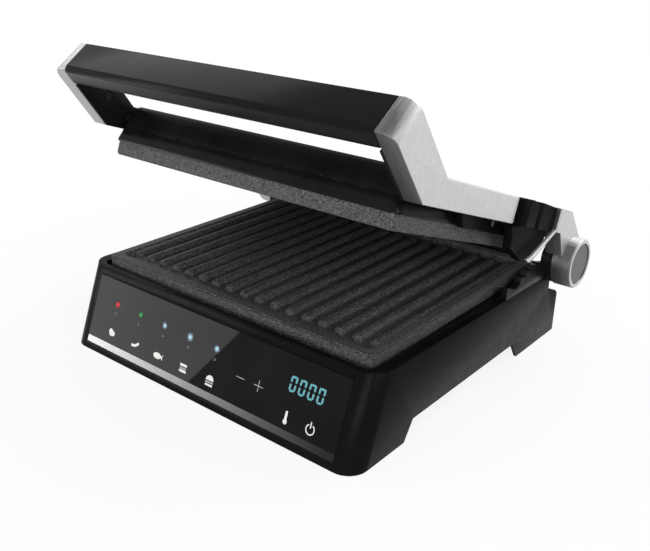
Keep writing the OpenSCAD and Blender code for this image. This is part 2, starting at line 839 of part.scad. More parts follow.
module hinge_pins() {
    color(steel) both_sides() translate([0, hinge_y, hinge_z]) {
        rod_x(tower_in + tower_web - 1, pin_end, pin_r);
        rod_x(tower_in + tower_web - 2.2, tower_in + tower_web - seat_gap, pin_r + 2);
    }
}

// ---------- drip tray ----------

module drip_tray() {
    grip_w = 46;
    grip_h = tray_h - 4;
    color(dark) difference() {
        translate([-tray_x, tray_y0, tray_z0]) cube([tray_w, tray_l - 0.3, tray_h]);
        translate([-tray_x + tray_wall, tray_y0 + tray_wall, tray_z0 + tray_wall])
            cube([tray_w - 2 * tray_wall, tray_l - 14 - 2 * tray_wall, tray_h]);
        // finger recess in the outer end
        translate([-grip_w / 2, back_edge - 10, tray_z0 - through])
            cube([grip_w, 10 + through, grip_h + through]);
    }
}

// ---------- arms and handle ----------

knee_run = (tip_rise - arm_low) / tan(riser_angle);
crest = [tip_reach - handle_face * sin(riser_angle), tip_rise + handle_face * cos(riser_angle)];
crest_run = (crest[1] - arm_high) / tan(riser_angle);

// Side outline of an arm from the rear end at u0 to the handle
module arm_outline(u0) {
    polygon([
        [u0, arm_low], [tip_reach - knee_run, arm_low], [tip_reach, tip_rise],
        crest, [crest[0] - crest_run, arm_high], [u0, arm_high]
    ]);
}

// Cutter that rounds the outer front corner of an arm
module arm_end_round() {
    on_riser() difference() {
        translate([arm_out - arm_end_r, -through, -handle_face])
            cube([arm_end_r + through, arm_end_r + through, 3 * handle_face]);
        translate([arm_out - arm_end_r, arm_end_r, -handle_face - through])
            cylinder(r = arm_end_r, h = 3 * handle_face + 2 * through);
    }
}

module arm(side) {
    stop_run = sqrt(pow(stop_r, 2) - pow(stop_r - arm_out + arm_core, 2));
    mirror([side < 0 ? 1 : 0, 0, 0]) color(silver) on_hinge() difference() {
        union() {
            side_form(arm_in, arm_core) arm_outline(leg_rear);
            side_form(arm_core, arm_out) arm_outline(arm_stop + stop_run);
            // the thick part curves in to its rear end
            intersection() {
                side_form(arm_core, arm_out) arm_outline(arm_stop);
                translate([arm_out - stop_r, -arm_stop - stop_run, arm_low])
                    cylinder(r = stop_r, h = arm_depth, $fn = 96);
            }
        }
        arm_end_round();
    }
}

module arm_left() arm(-1);
module arm_right() arm(1);

liner_stop = pivot_u + 58;
liner_inset = 1.2;

// Black cover on the inner face of an arm, from the pivot bracket to the handle
module arm_liner(side) {
    back = handle_depth + move_gap;
    mirror([side < 0 ? 1 : 0, 0, 0]) color(black) on_hinge() difference() {
        side_form(arm_in - seat_gap - liner_t, arm_in - seat_gap) intersection() {
            arm_outline(liner_stop);
            translate([-liner_inset * 0.4, 0]) arm_outline(liner_stop);
        }
        on_riser() translate([0, -handle_face, -handle_face])
            cube([2 * arm_in, handle_face + back, 3 * handle_face]);
        for (p = liner_screws) translate([0, -p[0], p[1]])
            rod_x(arm_in - 2 * liner_t - 1, arm_in, screw_r + 0.3);
    }
}

screw_up = 11;                     // height of a liner screw over the arm's lower edge
riser_screw = [50, 4];             // place of the riser's screw behind the tip and over the arm
screw_run = [12, 66];              // places of the other two ahead of the liner's rear end
liner_screws = concat([[tip_reach - riser_screw[0], arm_high + riser_screw[1]]],
    [for (u = screw_run) [liner_stop + u, arm_low + screw_up]]);

module arm_liner_left() arm_liner(-1);
module arm_liner_right() arm_liner(1);

handle_end = arm_in - seat_gap;
handle_back_t = 5;                 // thickness of the handle's rear cover
handle_joint = handle_depth - handle_back_t;

// Outline of the handle in its own (y, z), front face at y = 0
module handle_outline() {
    polygon([
        [0, 4.5], [3.2, 0], [handle_depth - 3, 0], [handle_depth, 4], [handle_depth, handle_face - 4],
        [handle_depth - 3, handle_face], [0.8, handle_face], [0, handle_face - 0.8]
    ]);
}

module handle_bar() {
    wall = 2.6;
    color(black) on_hinge() on_riser() along_x(-handle_end, handle_end) difference() {
        intersection() {
            handle_outline();
            square([handle_joint - seat_gap / 2, handle_face]);
        }
        translate([wall, wall + 1]) square([handle_depth, handle_face - 2 * wall - 1]);
    }
}

module handle_back() {
    color(black) on_hinge() on_riser() along_x(-handle_end, handle_end) intersection() {
        handle_outline();
        translate([handle_joint + seat_gap / 2, 0]) square([handle_depth, handle_face]);
    }
}

// Cowl across the back of the deck, between the towers: a rounded top about the hinge's
// axis on a wall that stands on the deck
module rear_crossbar() {
    wall_y0 = plate_y1 + rear_channel + 1.6;
    wall_y1 = step_y - edge_bevel - 0.6;
    end = tower_in - cowl_gap;
    color(black) along_x(-end, end) {
        translate([hinge_y, hinge_z]) circle(cowl_r);
        polygon([
            [wall_y0, deck_z(wall_y0) + seat_gap], [wall_y1, deck_z(wall_y1) + seat_gap],
            [wall_y1, hinge_z], [wall_y0, hinge_z]
        ]);
    }
}

// Outline of the hinge leg from its top down to the barrel
module leg_outline() {
    top = arm_high + 0.2;
    heel = [leg_rear, top];
    polygon([
        [leg_front, top], heel, tangent_point(heel, barrel_r - 0.01), [0, 0],
        [barrel_r + 1, 3.5], [leg_front - 10, arm_low + 0.6], [leg_front, arm_low + 0.8]
    ]);
}

button_x = barrel_end - 0.8;       // outer face of the button
button_t = 4;
button_stem = 4;
recess_x = button_x - button_t - button_stem - button_travel - 0.2;

module hinge_leg(side) {
    rim = 1.2;
    mirror([side < 0 ? 1 : 0, 0, 0]) color(silver) on_hinge() difference() {
        union() {
            side_form(barrel_x, leg_out) leg_outline();
            difference() {
                side_form(leg_in, barrel_x) leg_outline();
                rod_x(0, barrel_x, barrel_r + move_gap);
            }
            rod_x(barrel_x, barrel_end - rim, barrel_r);
            translate([barrel_end - rim, 0, 0]) rotate([0, 90, 0])
                cylinder(r1 = barrel_r, r2 = barrel_r - rim, h = rim);
        }
        rod_x(barrel_x - through, barrel_end, pin_r + run_gap);
        rod_x(recess_x, barrel_end + through, button_r + button_gap);
    }
}

module hinge_leg_left() hinge_leg(-1);
module hinge_leg_right() hinge_leg(1);

web_front = [15, 2.6];             // the web's front corner, ahead of and below the cover's
web_toe = [9, 14];
web_shin = [6, 2.3];
web_sole = [-21, -6.7];
web_heel = [-31, -7.4];
web_back = 5.5;

// Black cover outside the arm's thin rear part, with two ears and a web below
module hinge_cover(side) {
    u0 = leg_front + 4;
    u1 = arm_stop - 0.3;
    notch = u0 + (u1 - u0) * 0.58;
    top = arm_high + 0.3;
    groove = 3;
    mirror([side < 0 ? 1 : 0, 0, 0]) color(black) on_hinge() difference() {
        union() {
            side_form(arm_core + seat_gap, cover_out) polygon([
                [u0, arm_low], [u0, top - 0.5], [notch - 3.5, top + 0.7], [notch, top - 3.4],
                [notch + 7, top - 1.4], [u1 - 9, top + 0.8], [u1 - 3, top + 0.6], [u1, top - 1.2], [u1, arm_low]
            ]);
            side_form(arm_core + seat_gap, cover_out - 4) polygon([
                [u0, arm_low + 1], [u1, arm_low + 1], [u1, arm_low - 0.6],
                [u1 + web_front[0], arm_low - web_front[1]], [u1 + web_toe[0], web_toe[1]],
                [u1 + web_shin[0], web_shin[1]], [u1 + web_sole[0], web_sole[1]],
                [u1 + web_heel[0], web_heel[1]], [u0 + 5, web_back], [u0, arm_low - 3]
            ]);
        }
        // upright facets on the outer side
        for (u = [notch, u1 + 1]) translate([cover_out, -u, arm_low - through])
            rotate([0, 0, 45]) translate([-groove, -groove, 0])
                cube([2 * groove, 2 * groove, arm_depth + 3 * through]);
    }
}

module hinge_cover_left() hinge_cover(-1);
module hinge_cover_right() hinge_cover(1);

// Bright cranked bars along the rear edge of the hinge covers
module stay_bars() {
    u0 = leg_front + seat_gap;
    u1 = u0 + 2.2;
    run = 34.5;
    color(silver) on_hinge() both_sides()
        side_form(cover_out + seat_gap, leg_out) polygon([
            [u0, arm_high], [u1, arm_high], [u1, arm_low + 3], [u1 + run, 0], [u1 + run + 10, -4.6],
            [u1 + run + 7, -6.6], [u0 + run, -3], [u0, arm_low + 1.2]
        ]);
}

bracket_in = lid_w / 2 + skirt_flare + 0.9;
bracket_front = 56;                // from the pivot forward to the bracket's front
bracket_rear = 13;                 // from the pivot back to the bracket's rear
bracket_drop = 8;                  // from the pivot down to the bracket's foot
nose_len = 29;
nose_notch = 19;
nose_rise = 3;

// Brackets under the arms that carry the lid's pivot pins, each with a raised nose behind
module pivot_brackets() {
    front_u = pivot_u + bracket_front;
    rear_u = pivot_u - bracket_rear;
    foot_w = pivot_w - bracket_drop;
    color(black) on_hinge() both_sides() difference() {
        union() {
            side_form(bracket_in, arm_in - seat_gap) polygon([
                [rear_u - bracket_rear, arm_low - 2], [rear_u + 4, foot_w], [front_u - 6, foot_w],
                [front_u, arm_low - 2], [front_u, arm_high - 4], [rear_u - bracket_rear, arm_high - 4]
            ]);
            side_form(bracket_in, arm_in + 2) polygon([
                [rear_u + 4, foot_w], [rear_u, arm_low - 3.6], [rear_u - nose_notch, arm_low - 3.6],
                [rear_u - nose_len, foot_w + nose_rise], [rear_u - nose_len, foot_w]
            ]);
        }
        translate([0, -pivot_u, pivot_w]) rod_x(0, arm_in + through, pivot_r + fix_gap);
    }
}

bush_depth = 9;                    // how far a bush reaches into the lid
bush_wall = 2;
bush_in = lid_w / 2 - bush_depth;
bush_r = pivot_r + bush_wall;

module pivot_pins() {
    color(steel) on_hinge() both_sides() translate([0, -pivot_u, pivot_w])
        rod_x(bush_in + 1, arm_in - 2 * seat_gap, pivot_r);
}

module arm_screws() {
    color(steel) on_hinge() both_sides() for (p = liner_screws)
        translate([arm_in - seat_gap - liner_t, -p[0], p[1]]) rotate([0, 90, 0])
            screw(screw_r, liner_t, 3, 1.4);
}

// Fixed disc that closes the left-hand barrel
module barrel_cap() {
    color(dark) on_hinge() mirror([1, 0, 0]) {
        rod_x(button_x - button_t, button_x, button_r);
        rod_x(recess_x + seat_gap, button_x - button_t, pin_r - 1);
    }
}

module release_button() {
    color(dark) on_hinge() {
        rod_x(button_x - button_t, button_x, button_r);
        rod_x(button_x - button_t - button_stem, button_x - button_t, pin_r - 1);
    }
}

// ---------- lid ----------

lid_u0 = plate_u0 + 0.5;
lid_u1 = plate_u1 - 2;
lid_base = plate_t + seat_gap;     // underside of the lid's frame

// Rounded outline of the lid at one height, w above the hinge, grown by grow
module lid_slice(u0, u1, w, width, r) {
    for (x = [-1, 1], u = [u0 + r, u1 - r]) translate([x * (width / 2 - r), -u, w])
        cylinder(r = r, h = 0.01, $fn = hull_fn);
}

// Solid form of the cover, drawn in by inset
module cover_form(inset, floor_w) {
    fall = (lid_top - lid_parting) * tan(lid_lean);
    bevel = 2.5;
    rear = lid_rear_lean;
    top = lid_top - inset;
    hull() {
        lid_slice(lid_u0 + inset, lid_u1 - inset, floor_w, lid_w - 2 * inset, lid_r - inset / 2);
        lid_slice(lid_u0 + rear - 2 + inset, lid_u1 - fall + 1 - inset, top - bevel, lid_w - 3 - 2 * inset,
            lid_r - inset / 2);
        lid_slice(lid_u0 + rear + bevel + inset, lid_u1 - fall - bevel - inset, top, lid_w - 3 - 2 * bevel
            - 2 * inset, lid_r - inset / 2);
    }
}

module lid_cover() {
    color(black) on_hinge() difference() {
        cover_form(0, lid_parting + seat_gap / 2);
        cover_form(lid_wall, lid_parting - through);
    }
}

// Solid form of the skirt, drawn in by inset
module skirt_form(inset, w0, w1) {
    hull() {
        lid_slice(lid_u0 - skirt_flare + inset, lid_u1 + skirt_flare - inset, w0,
            lid_w + 2 * skirt_flare - 2 * inset, lid_r - inset / 2);
        lid_slice(lid_u0 - skirt_flare + inset, lid_u1 + skirt_flare - inset, w0 + 2.2,
            lid_w + 2 * skirt_flare - 2 * inset, lid_r - inset / 2);
        lid_slice(lid_u0 + inset, lid_u1 - inset, w1 - 0.01, lid_w - 2 * inset, lid_r - inset / 2);
    }
}

lid_floor_t = 1.6;
lid_screw_spots = [for (x = [-1, 1], u = [plate_u0 + 7, plate_u1 - 9]) [x * (pan_w / 2 - 26), u]];

module lid_frame() {
    open_w = pan_w + 1;
    open_d = pan_d + 1;
    color(black) on_hinge() difference() {
        skirt_form(0, lid_base, lid_parting - seat_gap / 2);
        skirt_form(lid_wall, lid_base + lid_floor_t, lid_parting + through);
        translate([0, -plate_uc, lid_base - through]) linear_extrude(lid_floor_t + 2 * through)
            round_rect(open_w - 26, open_d - 18, 8);
        both_sides() translate([0, -pivot_u, pivot_w])
            rod_x(bush_in, arm_in, bush_r + fix_gap);
        for (p = lid_screw_spots) translate([p[0], -p[1], lid_base - through])
            cylinder(r = screw_r + 0.3, h = lid_floor_t + 2 * through);
    }
}

module upper_plate() {
    color(castiron) on_hinge() translate([0, -plate_uc, plate_t]) mirror([0, 0, 1]) grill_plate();
}

upper_pan_z = lid_base + lid_floor_t + seat_gap;
upper_pan_h = lid_parting + 3 - upper_pan_z;

module upper_heater() {
    color(steel) on_hinge() translate([0, -plate_uc, plate_t + seat_gap])
        heater_strip(heater_w, heater_d);
}

module upper_reflector() {
    color(steel) on_hinge() translate([0, -plate_uc, upper_pan_z + upper_pan_h]) mirror([0, 0, 1])
        heat_pan(pan_w - 36, pan_d - 24, upper_pan_h);
}

module upper_clips() {
    color(steel) on_hinge() for (p = clip_spots)
        translate([p[0] - sign(p[0]) * clip_shift, -plate_uc + p[1] * 0.8, plate_t + seat_gap])
            plate_clip(upper_pan_z + upper_pan_h - sheet - plate_t - 2 * seat_gap);
}

module upper_sensor() {
    color(silver) on_hinge() translate([0, -plate_uc, plate_t + seat_gap]) {
        cylinder(r = sensor_r, h = upper_pan_z + upper_pan_h - sheet - plate_t - 2 * seat_gap);
    }
}

module pivot_bushes() {
    color(steel) on_hinge() both_sides() translate([0, -pivot_u, pivot_w]) difference() {
        union() {
            rod_x(bush_in, lid_w / 2 + skirt_flare + 0.3, bush_r);
            rod_x(bush_in + 2, lid_w / 2 - lid_wall - 1.2, bush_r + 0.8);
        }
        rod_x(bush_in - through, arm_in, pivot_r + run_gap);
    }
}

module lid_screws() {
    color(steel) on_hinge() for (p = lid_screw_spots) translate([p[0], -p[1], lid_base + lid_floor_t])
        mirror([0, 0, 1]) screw(screw_r, lid_floor_t, 2.8, 1.4);
}

// ---------- the nodes ----------

base_shell();
bottom_cover();
rubber_feet();
bottom_screws();
control_glass();
trim_strip();
control_board();
display_module();
indicator_leds();
power_board();
cord_gland();
lower_plate();
lower_heater();
lower_reflector();
lower_clips();
lower_sensor();
hinge_tower_left();
hinge_tower_right();
hinge_collar_left();
hinge_collar_right();
hinge_pins();
drip_tray();
arm_left();
arm_right();
arm_liner_left();
arm_liner_right();
handle_bar();
handle_back();
rear_crossbar();
hinge_leg_left();
hinge_leg_right();
hinge_cover_left();
hinge_cover_right();
stay_bars();
pivot_brackets();
pivot_pins();
arm_screws();
barrel_cap();
release_button();
lid_cover();
lid_frame();
upper_plate();
upper_heater();
upper_reflector();
upper_clips();
upper_sensor();
pivot_bushes();
lid_screws();
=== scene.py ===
"""Electric contact grill with a floating lid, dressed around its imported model.

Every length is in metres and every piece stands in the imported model's own
frame: +X to the grill's right, +Y to its rear and +Z up from the table.
"""

from __future__ import annotations

import json
import logging
import math
from dataclasses import dataclass, field
from enum import Enum
from typing import Iterable, Sequence

import bmesh
import bpy
from mathutils import Matrix, Vector

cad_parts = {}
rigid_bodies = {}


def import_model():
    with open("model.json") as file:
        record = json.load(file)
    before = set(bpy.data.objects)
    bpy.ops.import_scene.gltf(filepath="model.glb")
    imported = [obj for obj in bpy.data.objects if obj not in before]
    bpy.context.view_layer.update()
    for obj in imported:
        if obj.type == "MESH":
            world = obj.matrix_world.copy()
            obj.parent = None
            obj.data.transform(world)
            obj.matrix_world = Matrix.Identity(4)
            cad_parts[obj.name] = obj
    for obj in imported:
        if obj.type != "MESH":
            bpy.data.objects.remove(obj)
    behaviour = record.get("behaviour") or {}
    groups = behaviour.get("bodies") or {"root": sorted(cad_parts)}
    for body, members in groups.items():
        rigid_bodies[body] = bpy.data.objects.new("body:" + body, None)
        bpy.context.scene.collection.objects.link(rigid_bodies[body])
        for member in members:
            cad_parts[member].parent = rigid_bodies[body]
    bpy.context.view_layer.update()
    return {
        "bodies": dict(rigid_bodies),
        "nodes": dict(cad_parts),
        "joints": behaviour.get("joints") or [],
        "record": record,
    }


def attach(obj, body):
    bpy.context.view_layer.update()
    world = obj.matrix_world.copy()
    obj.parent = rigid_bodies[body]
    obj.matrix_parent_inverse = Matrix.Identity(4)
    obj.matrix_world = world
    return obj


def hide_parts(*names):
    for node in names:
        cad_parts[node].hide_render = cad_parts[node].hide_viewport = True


Point = tuple[float, float]
Colour = tuple[float, float, float]
Triple = tuple[float, float, float]
MM = 0.001
LOG = logging.getLogger("grill")

# The panel's lean and the hinge's axis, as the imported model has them.
PANEL_LEAN = math.radians(21.0)
HINGE_Y = 0.1433
HINGE_Z = 0.086

# The part of a noise's values that holds most of it.
NOISE_CUT = (0.3, 0.7)
RING_STEPS = 28


# ---------------------------------------------------------------- shader graph


class Graph:
    """One material's node tree, with short calls for the nodes it needs."""

    def __init__(self, name: str) -> None:
        """Starts a material that holds a Principled shader alone.

        Args:
            name: the material's name.
        """
        self.material = bpy.data.materials.new(name)
        self.material.use_nodes = True
        self.tree = self.material.node_tree
        self.tree.nodes.clear()
        self.output = self.add("ShaderNodeOutputMaterial")
        self.shader = self.add("ShaderNodeBsdfPrincipled")
        self.link(self.shader.outputs["BSDF"], self.output.inputs["Surface"])

    def add(self, kind: str, **settings: object) -> bpy.types.Node:
        """Adds a node.

        Args:
            kind: the node's type.
            settings: attributes to set on it.

        Returns:
            The new node.
        """
        node = self.tree.nodes.new(kind)
        for key, value in settings.items():
            setattr(node, key, value)
        return node

    def link(self, source: bpy.types.NodeSocket, target: bpy.types.NodeSocket) -> None:
        """Joins two sockets."""
        self.tree.links.new(source, target)

    def set(self, **values: object) -> None:
        """Sets constants on the shader's own sockets, with _ for a space."""
        for key, value in values.items():
            self.shader.inputs[key.replace("_", " ")].default_value = value

    def place(self, stretch: Sequence[float] = (1, 1, 1)) -> bpy.types.NodeSocket:
        """Gives the point on the object, in metres.

        Args:
            stretch: scale along each axis.

        Returns:
            The point, scaled.
        """
        mapping = self.add("ShaderNodeMapping")
        mapping.inputs["Scale"].default_value = tuple(stretch)
        self.link(self.add("ShaderNodeTexCoord").outputs["Object"], mapping.inputs["Vector"])
        return mapping.outputs["Vector"]

    def noise(
        self,
        size: float,
        detail: float = 2.0,
        stretch: Sequence[float] = (1, 1, 1),
        rough: float = 0.5,
    ) -> bpy.types.NodeSocket:
        """Adds fractal noise.

        Args:
            size: the size of its patches in metres.
            detail: how many finer layers it has.
            stretch: scale along each axis.
            rough: how strong the finer layers are.

        Returns:
            The noise, from 0 to 1.
        """
        node = self.add("ShaderNodeTexNoise")
        node.inputs["Scale"].default_value = 1.0 / size
        node.inputs["Detail"].default_value = detail
        node.inputs["Roughness"].default_value = rough
        self.link(self.place(stretch), node.inputs["Vector"])
        return node.outputs["Fac"]

    def mottle(
        self,
        size: float,
        detail: float = 2.0,
        levels: Point = (0.0, 1.0),
        cut: Point = NOISE_CUT,
        stretch: Sequence[float] = (1, 1, 1),
        rough: float = 0.5,
    ) -> bpy.types.NodeSocket:
        """Spreads noise between two levels.

        Args:
            size: the size of its patches in metres.
            detail: how many finer layers it has.
            levels: what its lowest and highest patches become.
            cut: the part of the noise that is spread over the levels.
            stretch: scale along each axis.
            rough: how strong the finer layers are.

        Returns:
            The patches' values.
        """
        return self.span(self.noise(size, detail, stretch, rough), *cut, *levels)

    def creases(self, size: float, width: float) -> bpy.types.NodeSocket:
        """Gives creases between cells, as leather has them.

        Args:
            size: the cells' size in metres.
            width: how far a crease reaches into its cell, as a share of its size.

        Returns:
            0 in a crease and 1 on a cell.
        """
        node = self.add("ShaderNodeTexVoronoi", feature="DISTANCE_TO_EDGE")
        node.inputs["Scale"].default_value = 1.0 / size
        self.link(self.place(), node.inputs["Vector"])
        return self.span(node.outputs["Distance"], 0.0, width)

    def facing(self, towards: Sequence[float]) -> bpy.types.NodeSocket:
        """Tells how far the surface faces a direction.

        Args:
            towards: the direction, along the object's own axes.

        Returns:
            1 where it faces that way and 0 where it stands square to it.
        """
        dot = self.add("ShaderNodeVectorMath", operation="DOT_PRODUCT")
        dot.inputs[1].default_value = tuple(towards)
        self.link(self.add("ShaderNodeTexCoord").outputs["Normal"], dot.inputs[0])
        return dot.outputs["Value"]

    def along(self, axis: str) -> bpy.types.NodeSocket:
        """Gives the point's place along one of the object's axes.

        Args:
            axis: X, Y or Z.

        Returns:
            The place in metres.
        """
        split = self.add("ShaderNodeSeparateXYZ")
        self.link(self.add("ShaderNodeTexCoord").outputs["Object"], split.inputs["Vector"])
        return split.outputs[axis]

    def span(
        self,
        value: bpy.types.NodeSocket,
        low: float,
        high: float,
        out_low: float = 0.0,
        out_high: float = 1.0,
    ) -> bpy.types.NodeSocket:
        """Maps a value from one span to another and holds it there.

        Args:
            value: the value to map.
            low: where the span starts.
            high: where it ends.
            out_low: what low becomes.
            out_high: what high becomes.

        Returns:
            The mapped value.
        """
        node = self.add("ShaderNodeMapRange")
        for key, number in zip(
            ("From Min", "From Max", "To Min", "To Max"), (low, high, out_low, out_high)
        ):
            node.inputs[key].default_value = number
        self.link(value, node.inputs["Value"])
        return node.outputs["Result"]

    def maths(
        self, operation: str, first: bpy.types.NodeSocket, second: bpy.types.NodeSocket | float
    ) -> bpy.types.NodeSocket:
        """Works out an operation on two values.

        Args:
            operation: the operation.
            first: a value.
            second: a value or a number.

        Returns:
            The result.
        """
        node = self.add("ShaderNodeMath", operation=operation)
        self.link(first, node.inputs[0])
        if isinstance(second, bpy.types.NodeSocket):
            self.link(second, node.inputs[1])
        else:
            node.inputs[1].default_value = second
        return node.outputs["Value"]

    def blend(
        self,
        amount: bpy.types.NodeSocket,
        first: bpy.types.NodeSocket | Colour,
        second: bpy.types.NodeSocket | Colour,
    ) -> bpy.types.NodeSocket:
        """Mixes two colours.

        Args:
            amount: 0 for the first and 1 for the second.
            first: a colour or a socket.
            second: a colour or a socket.

        Returns:
            The mixed colour.
        """
        node = self.add("ShaderNodeMix", data_type="RGBA")
        self.link(amount, node.inputs[0])
        for slot, colour in ((6, first), (7, second)):
            if isinstance(colour, bpy.types.NodeSocket):
                self.link(colour, node.inputs[slot])
            else:
                node.inputs[slot].default_value = (*colour, 1.0)
        return node.outputs[2]

    def paint(self, colour: bpy.types.NodeSocket) -> None:
        """Feeds the shader's colour."""
        self.link(colour, self.shader.inputs["Base Color"])

    def polish(self, roughness: bpy.types.NodeSocket) -> None:
        """Feeds the shader's roughness."""
        self.link(roughness, self.shader.inputs["Roughness"])

    def relief(
        self,
        height: bpy.types.NodeSocket,
        depth: float,
        strength: float = 1.0,
        under: bpy.types.NodeSocket | None = None,
    ) -> bpy.types.NodeSocket:
        """Raises the surface by a height.

        Args:
            height: the height, from 0 to 1.
            depth: what 1 is in metres.
            strength: how much of it shows.
            under: relief that lies below this one.

        Returns:
            The normal, which also feeds the shader.
        """
        node = self.add("ShaderNodeBump")
        node.inputs["Distance"].default_value = depth
        node.inputs["Strength"].default_value = strength
        self.link(height, node.inputs["Height"])
        if under is not None:
            self.link(under, node.inputs["Normal"])
        self.link(node.outputs["Normal"], self.shader.inputs["Normal"])
        return node.outputs["Normal"]


# --------------------------------------------------------------------- finishes


def shade(colour: Colour, factor: float, lift: float = 0.0) -> Colour:
    """Gives a lighter or darker shade of a colour, up to white."""
    return tuple(min(1.0, part * factor + lift) for part in colour)


@dataclass(frozen=True)
class MouldedPlastic:
    """Black moulded plastic with a fine grain."""

    name: str
    colour: Colour
    roughness: float = 0.42
    specular: float = 0.30
    cloud: float = 60 * MM
    wear: float = 9 * MM
    grain: float = 0.45 * MM
    depth: float = 0.02 * MM

    def make(self) -> bpy.types.Material:
        """Builds the material.

        Returns:
            The material.
        """
        graph = Graph(self.name)
        clouds = graph.mottle(self.cloud, 3.0, cut=(0.35, 0.65))
        graph.paint(graph.blend(clouds, self.colour, shade(self.colour, 1.35, 0.001)))
        graph.polish(graph.mottle(self.wear, 4.0, (self.roughness - 0.04, self.roughness + 0.05)))
        graph.relief(graph.noise(self.grain, 1.5), self.depth, 0.6)
        graph.set(Specular_IOR_Level=self.specular)
        return graph.material


@dataclass(frozen=True)
class LeatherGrain:
    """Black handle plastic with a fine leather grain, its creases painted darker as shade."""

    name: str
    colour: Colour
    roughness: float = 0.15
    specular: float = 0.045
    cell: float = 0.9 * MM
    crease: float = 0.16
    smear: float = 14 * MM
    depth: float = 0.03 * MM

    def make(self) -> bpy.types.Material:
        """Builds the material.

        Returns:
            The material.
        """
        graph = Graph(self.name)
        creases = graph.creases(self.cell, self.crease)
        # Painted shade: the creases keep the darker colour and the cells take a lighter one.
        graph.paint(graph.blend(creases, self.colour, shade(self.colour, 1.5, 0.002)))
        graph.polish(graph.mottle(self.smear, 3.0, (self.roughness, self.roughness + 0.08)))
        graph.relief(creases, self.depth, 0.12)
        graph.set(Specular_IOR_Level=self.specular)
        return graph.material


@dataclass(frozen=True)
class PolishedPlastic:
    """Glossy black plastic with the faint waves of a moulding."""

    name: str
    colour: Colour
    roughness: float = 0.10
    specular: float = 0.40
    haze: float = 35 * MM
    smear: float = 5 * MM
    wave: float = 22 * MM
    depth: float = 0.04 * MM

    def make(self) -> bpy.types.Material:
        """Builds the material.

        Returns:
            The material.
        """
        graph = Graph(self.name)
        haze = graph.mottle(self.haze, 4.0, cut=(0.4, 0.7))
        graph.paint(graph.blend(haze, self.colour, shade(self.colour, 1.6, 0.001)))
        dullness = (self.roughness, self.roughness + 0.06)
        graph.polish(graph.mottle(self.smear, 5.0, dullness, (0.35, 0.75)))
        graph.relief(graph.noise(self.wave, 1.0), self.depth, 0.25)
        graph.set(Specular_IOR_Level=self.specular)
        return graph.material


@dataclass(frozen=True)
class CastSilver:
    """Blasted silver die-casting, with streaked faces towards one side painted darker as shade.

    The painted shade grows from a share at the grill's left to full at its right,
    over the width that half gives.
    """

    name: str
    colour: Colour = (0.57, 0.572, 0.575)
    # Painted shade: the colour given to surfaces that face the front.
    face: Colour = (0.60, 0.602, 0.605)
    roughness: float = 0.45
    towards: Triple = (0.0, -1.0, 0.0)
    painted_shade_left_share: float = 0.35
    half: float = 100 * MM
    flake: float = 1.5 * MM
    cloud: float = 5 * MM
    streak: float = 0.9 * MM
    smear: float = 12 * MM
    depth: float = 0.03 * MM

    def make(self) -> bpy.types.Material:
        """Builds the material.

        Returns:
            The material.
        """
        graph = Graph(self.name)
        flakes = graph.mottle(self.flake, 3.0, cut=(0.38, 0.62), rough=0.75)
        clouds = graph.maths("MULTIPLY", graph.mottle(self.cloud), 0.25)
        darker = shade(self.colour, 0.88)
        blasted = graph.blend(flakes, darker, shade(self.colour, 1.06))
        blasted = graph.blend(clouds, blasted, darker)
        streaks = graph.mottle(self.streak, 3.0, stretch=(1.0, 0.05, 0.05))
        # The streaks are grain; the face colour they run into is painted shade.
        brushed_painted_shade = graph.blend(streaks, shade(self.face, 0.72), self.face)
        # Painted shade: strongest where a surface faces the front, and more so towards the grill's
        # right.
        facing = graph.span(graph.facing(self.towards), 0.15, 0.55)
        painted_shade_across_x = graph.span(graph.along("X"), -self.half, self.half, self.painted_shade_left_share, 1.0)
        graph.paint(graph.blend(graph.maths("MULTIPLY", facing, painted_shade_across_x), blasted, brushed_painted_shade))
        graph.polish(graph.mottle(self.smear, 3.0, (self.roughness - 0.03, self.roughness + 0.05)))
        graph.relief(flakes, self.depth, 0.35)
        graph.set(Metallic=0.85)
        return graph.material


@dataclass(frozen=True)
class TurnedMetal:
    """Metal with circular brushing about the hinge."""

    name: str
    colour: Colour
    roughness: float = 0.32
    centre: Point = (HINGE_Y, HINGE_Z)
    ring: float = 0.25 * MM
    depth: float = 0.02 * MM

    def make(self) -> bpy.types.Material:
        """Builds the material.

        Returns:
            The material.
        """
        graph = Graph(self.name)
        shift = graph.add("ShaderNodeVectorMath", operation="SUBTRACT")
        shift.inputs[1].default_value = (0.0, *self.centre)
        graph.link(graph.place(), shift.inputs[0])
        flat = graph.add("ShaderNodeVectorMath", operation="MULTIPLY")
        flat.inputs[1].default_value = (0.0, 1.0, 1.0)
        graph.link(shift.outputs["Vector"], flat.inputs[0])
        radius = graph.add("ShaderNodeVectorMath", operation="LENGTH")
        graph.link(flat.outputs["Vector"], radius.inputs[0])
        rings = graph.add("ShaderNodeTexNoise", noise_dimensions="1D")
        rings.inputs["Scale"].default_value = 1.0 / self.ring
        rings.inputs["Detail"].default_value = 3.0
        graph.link(radius.outputs["Value"], rings.inputs["W"])
        lines = graph.span(rings.outputs["Fac"], *NOISE_CUT)
        graph.paint(graph.blend(lines, shade(self.colour, 0.7), self.colour))
        graph.polish(graph.span(lines, 0.0, 1.0, self.roughness - 0.05, self.roughness + 0.08))
        graph.relief(lines, self.depth, 0.5)
        graph.set(Metallic=0.9)
        return graph.material


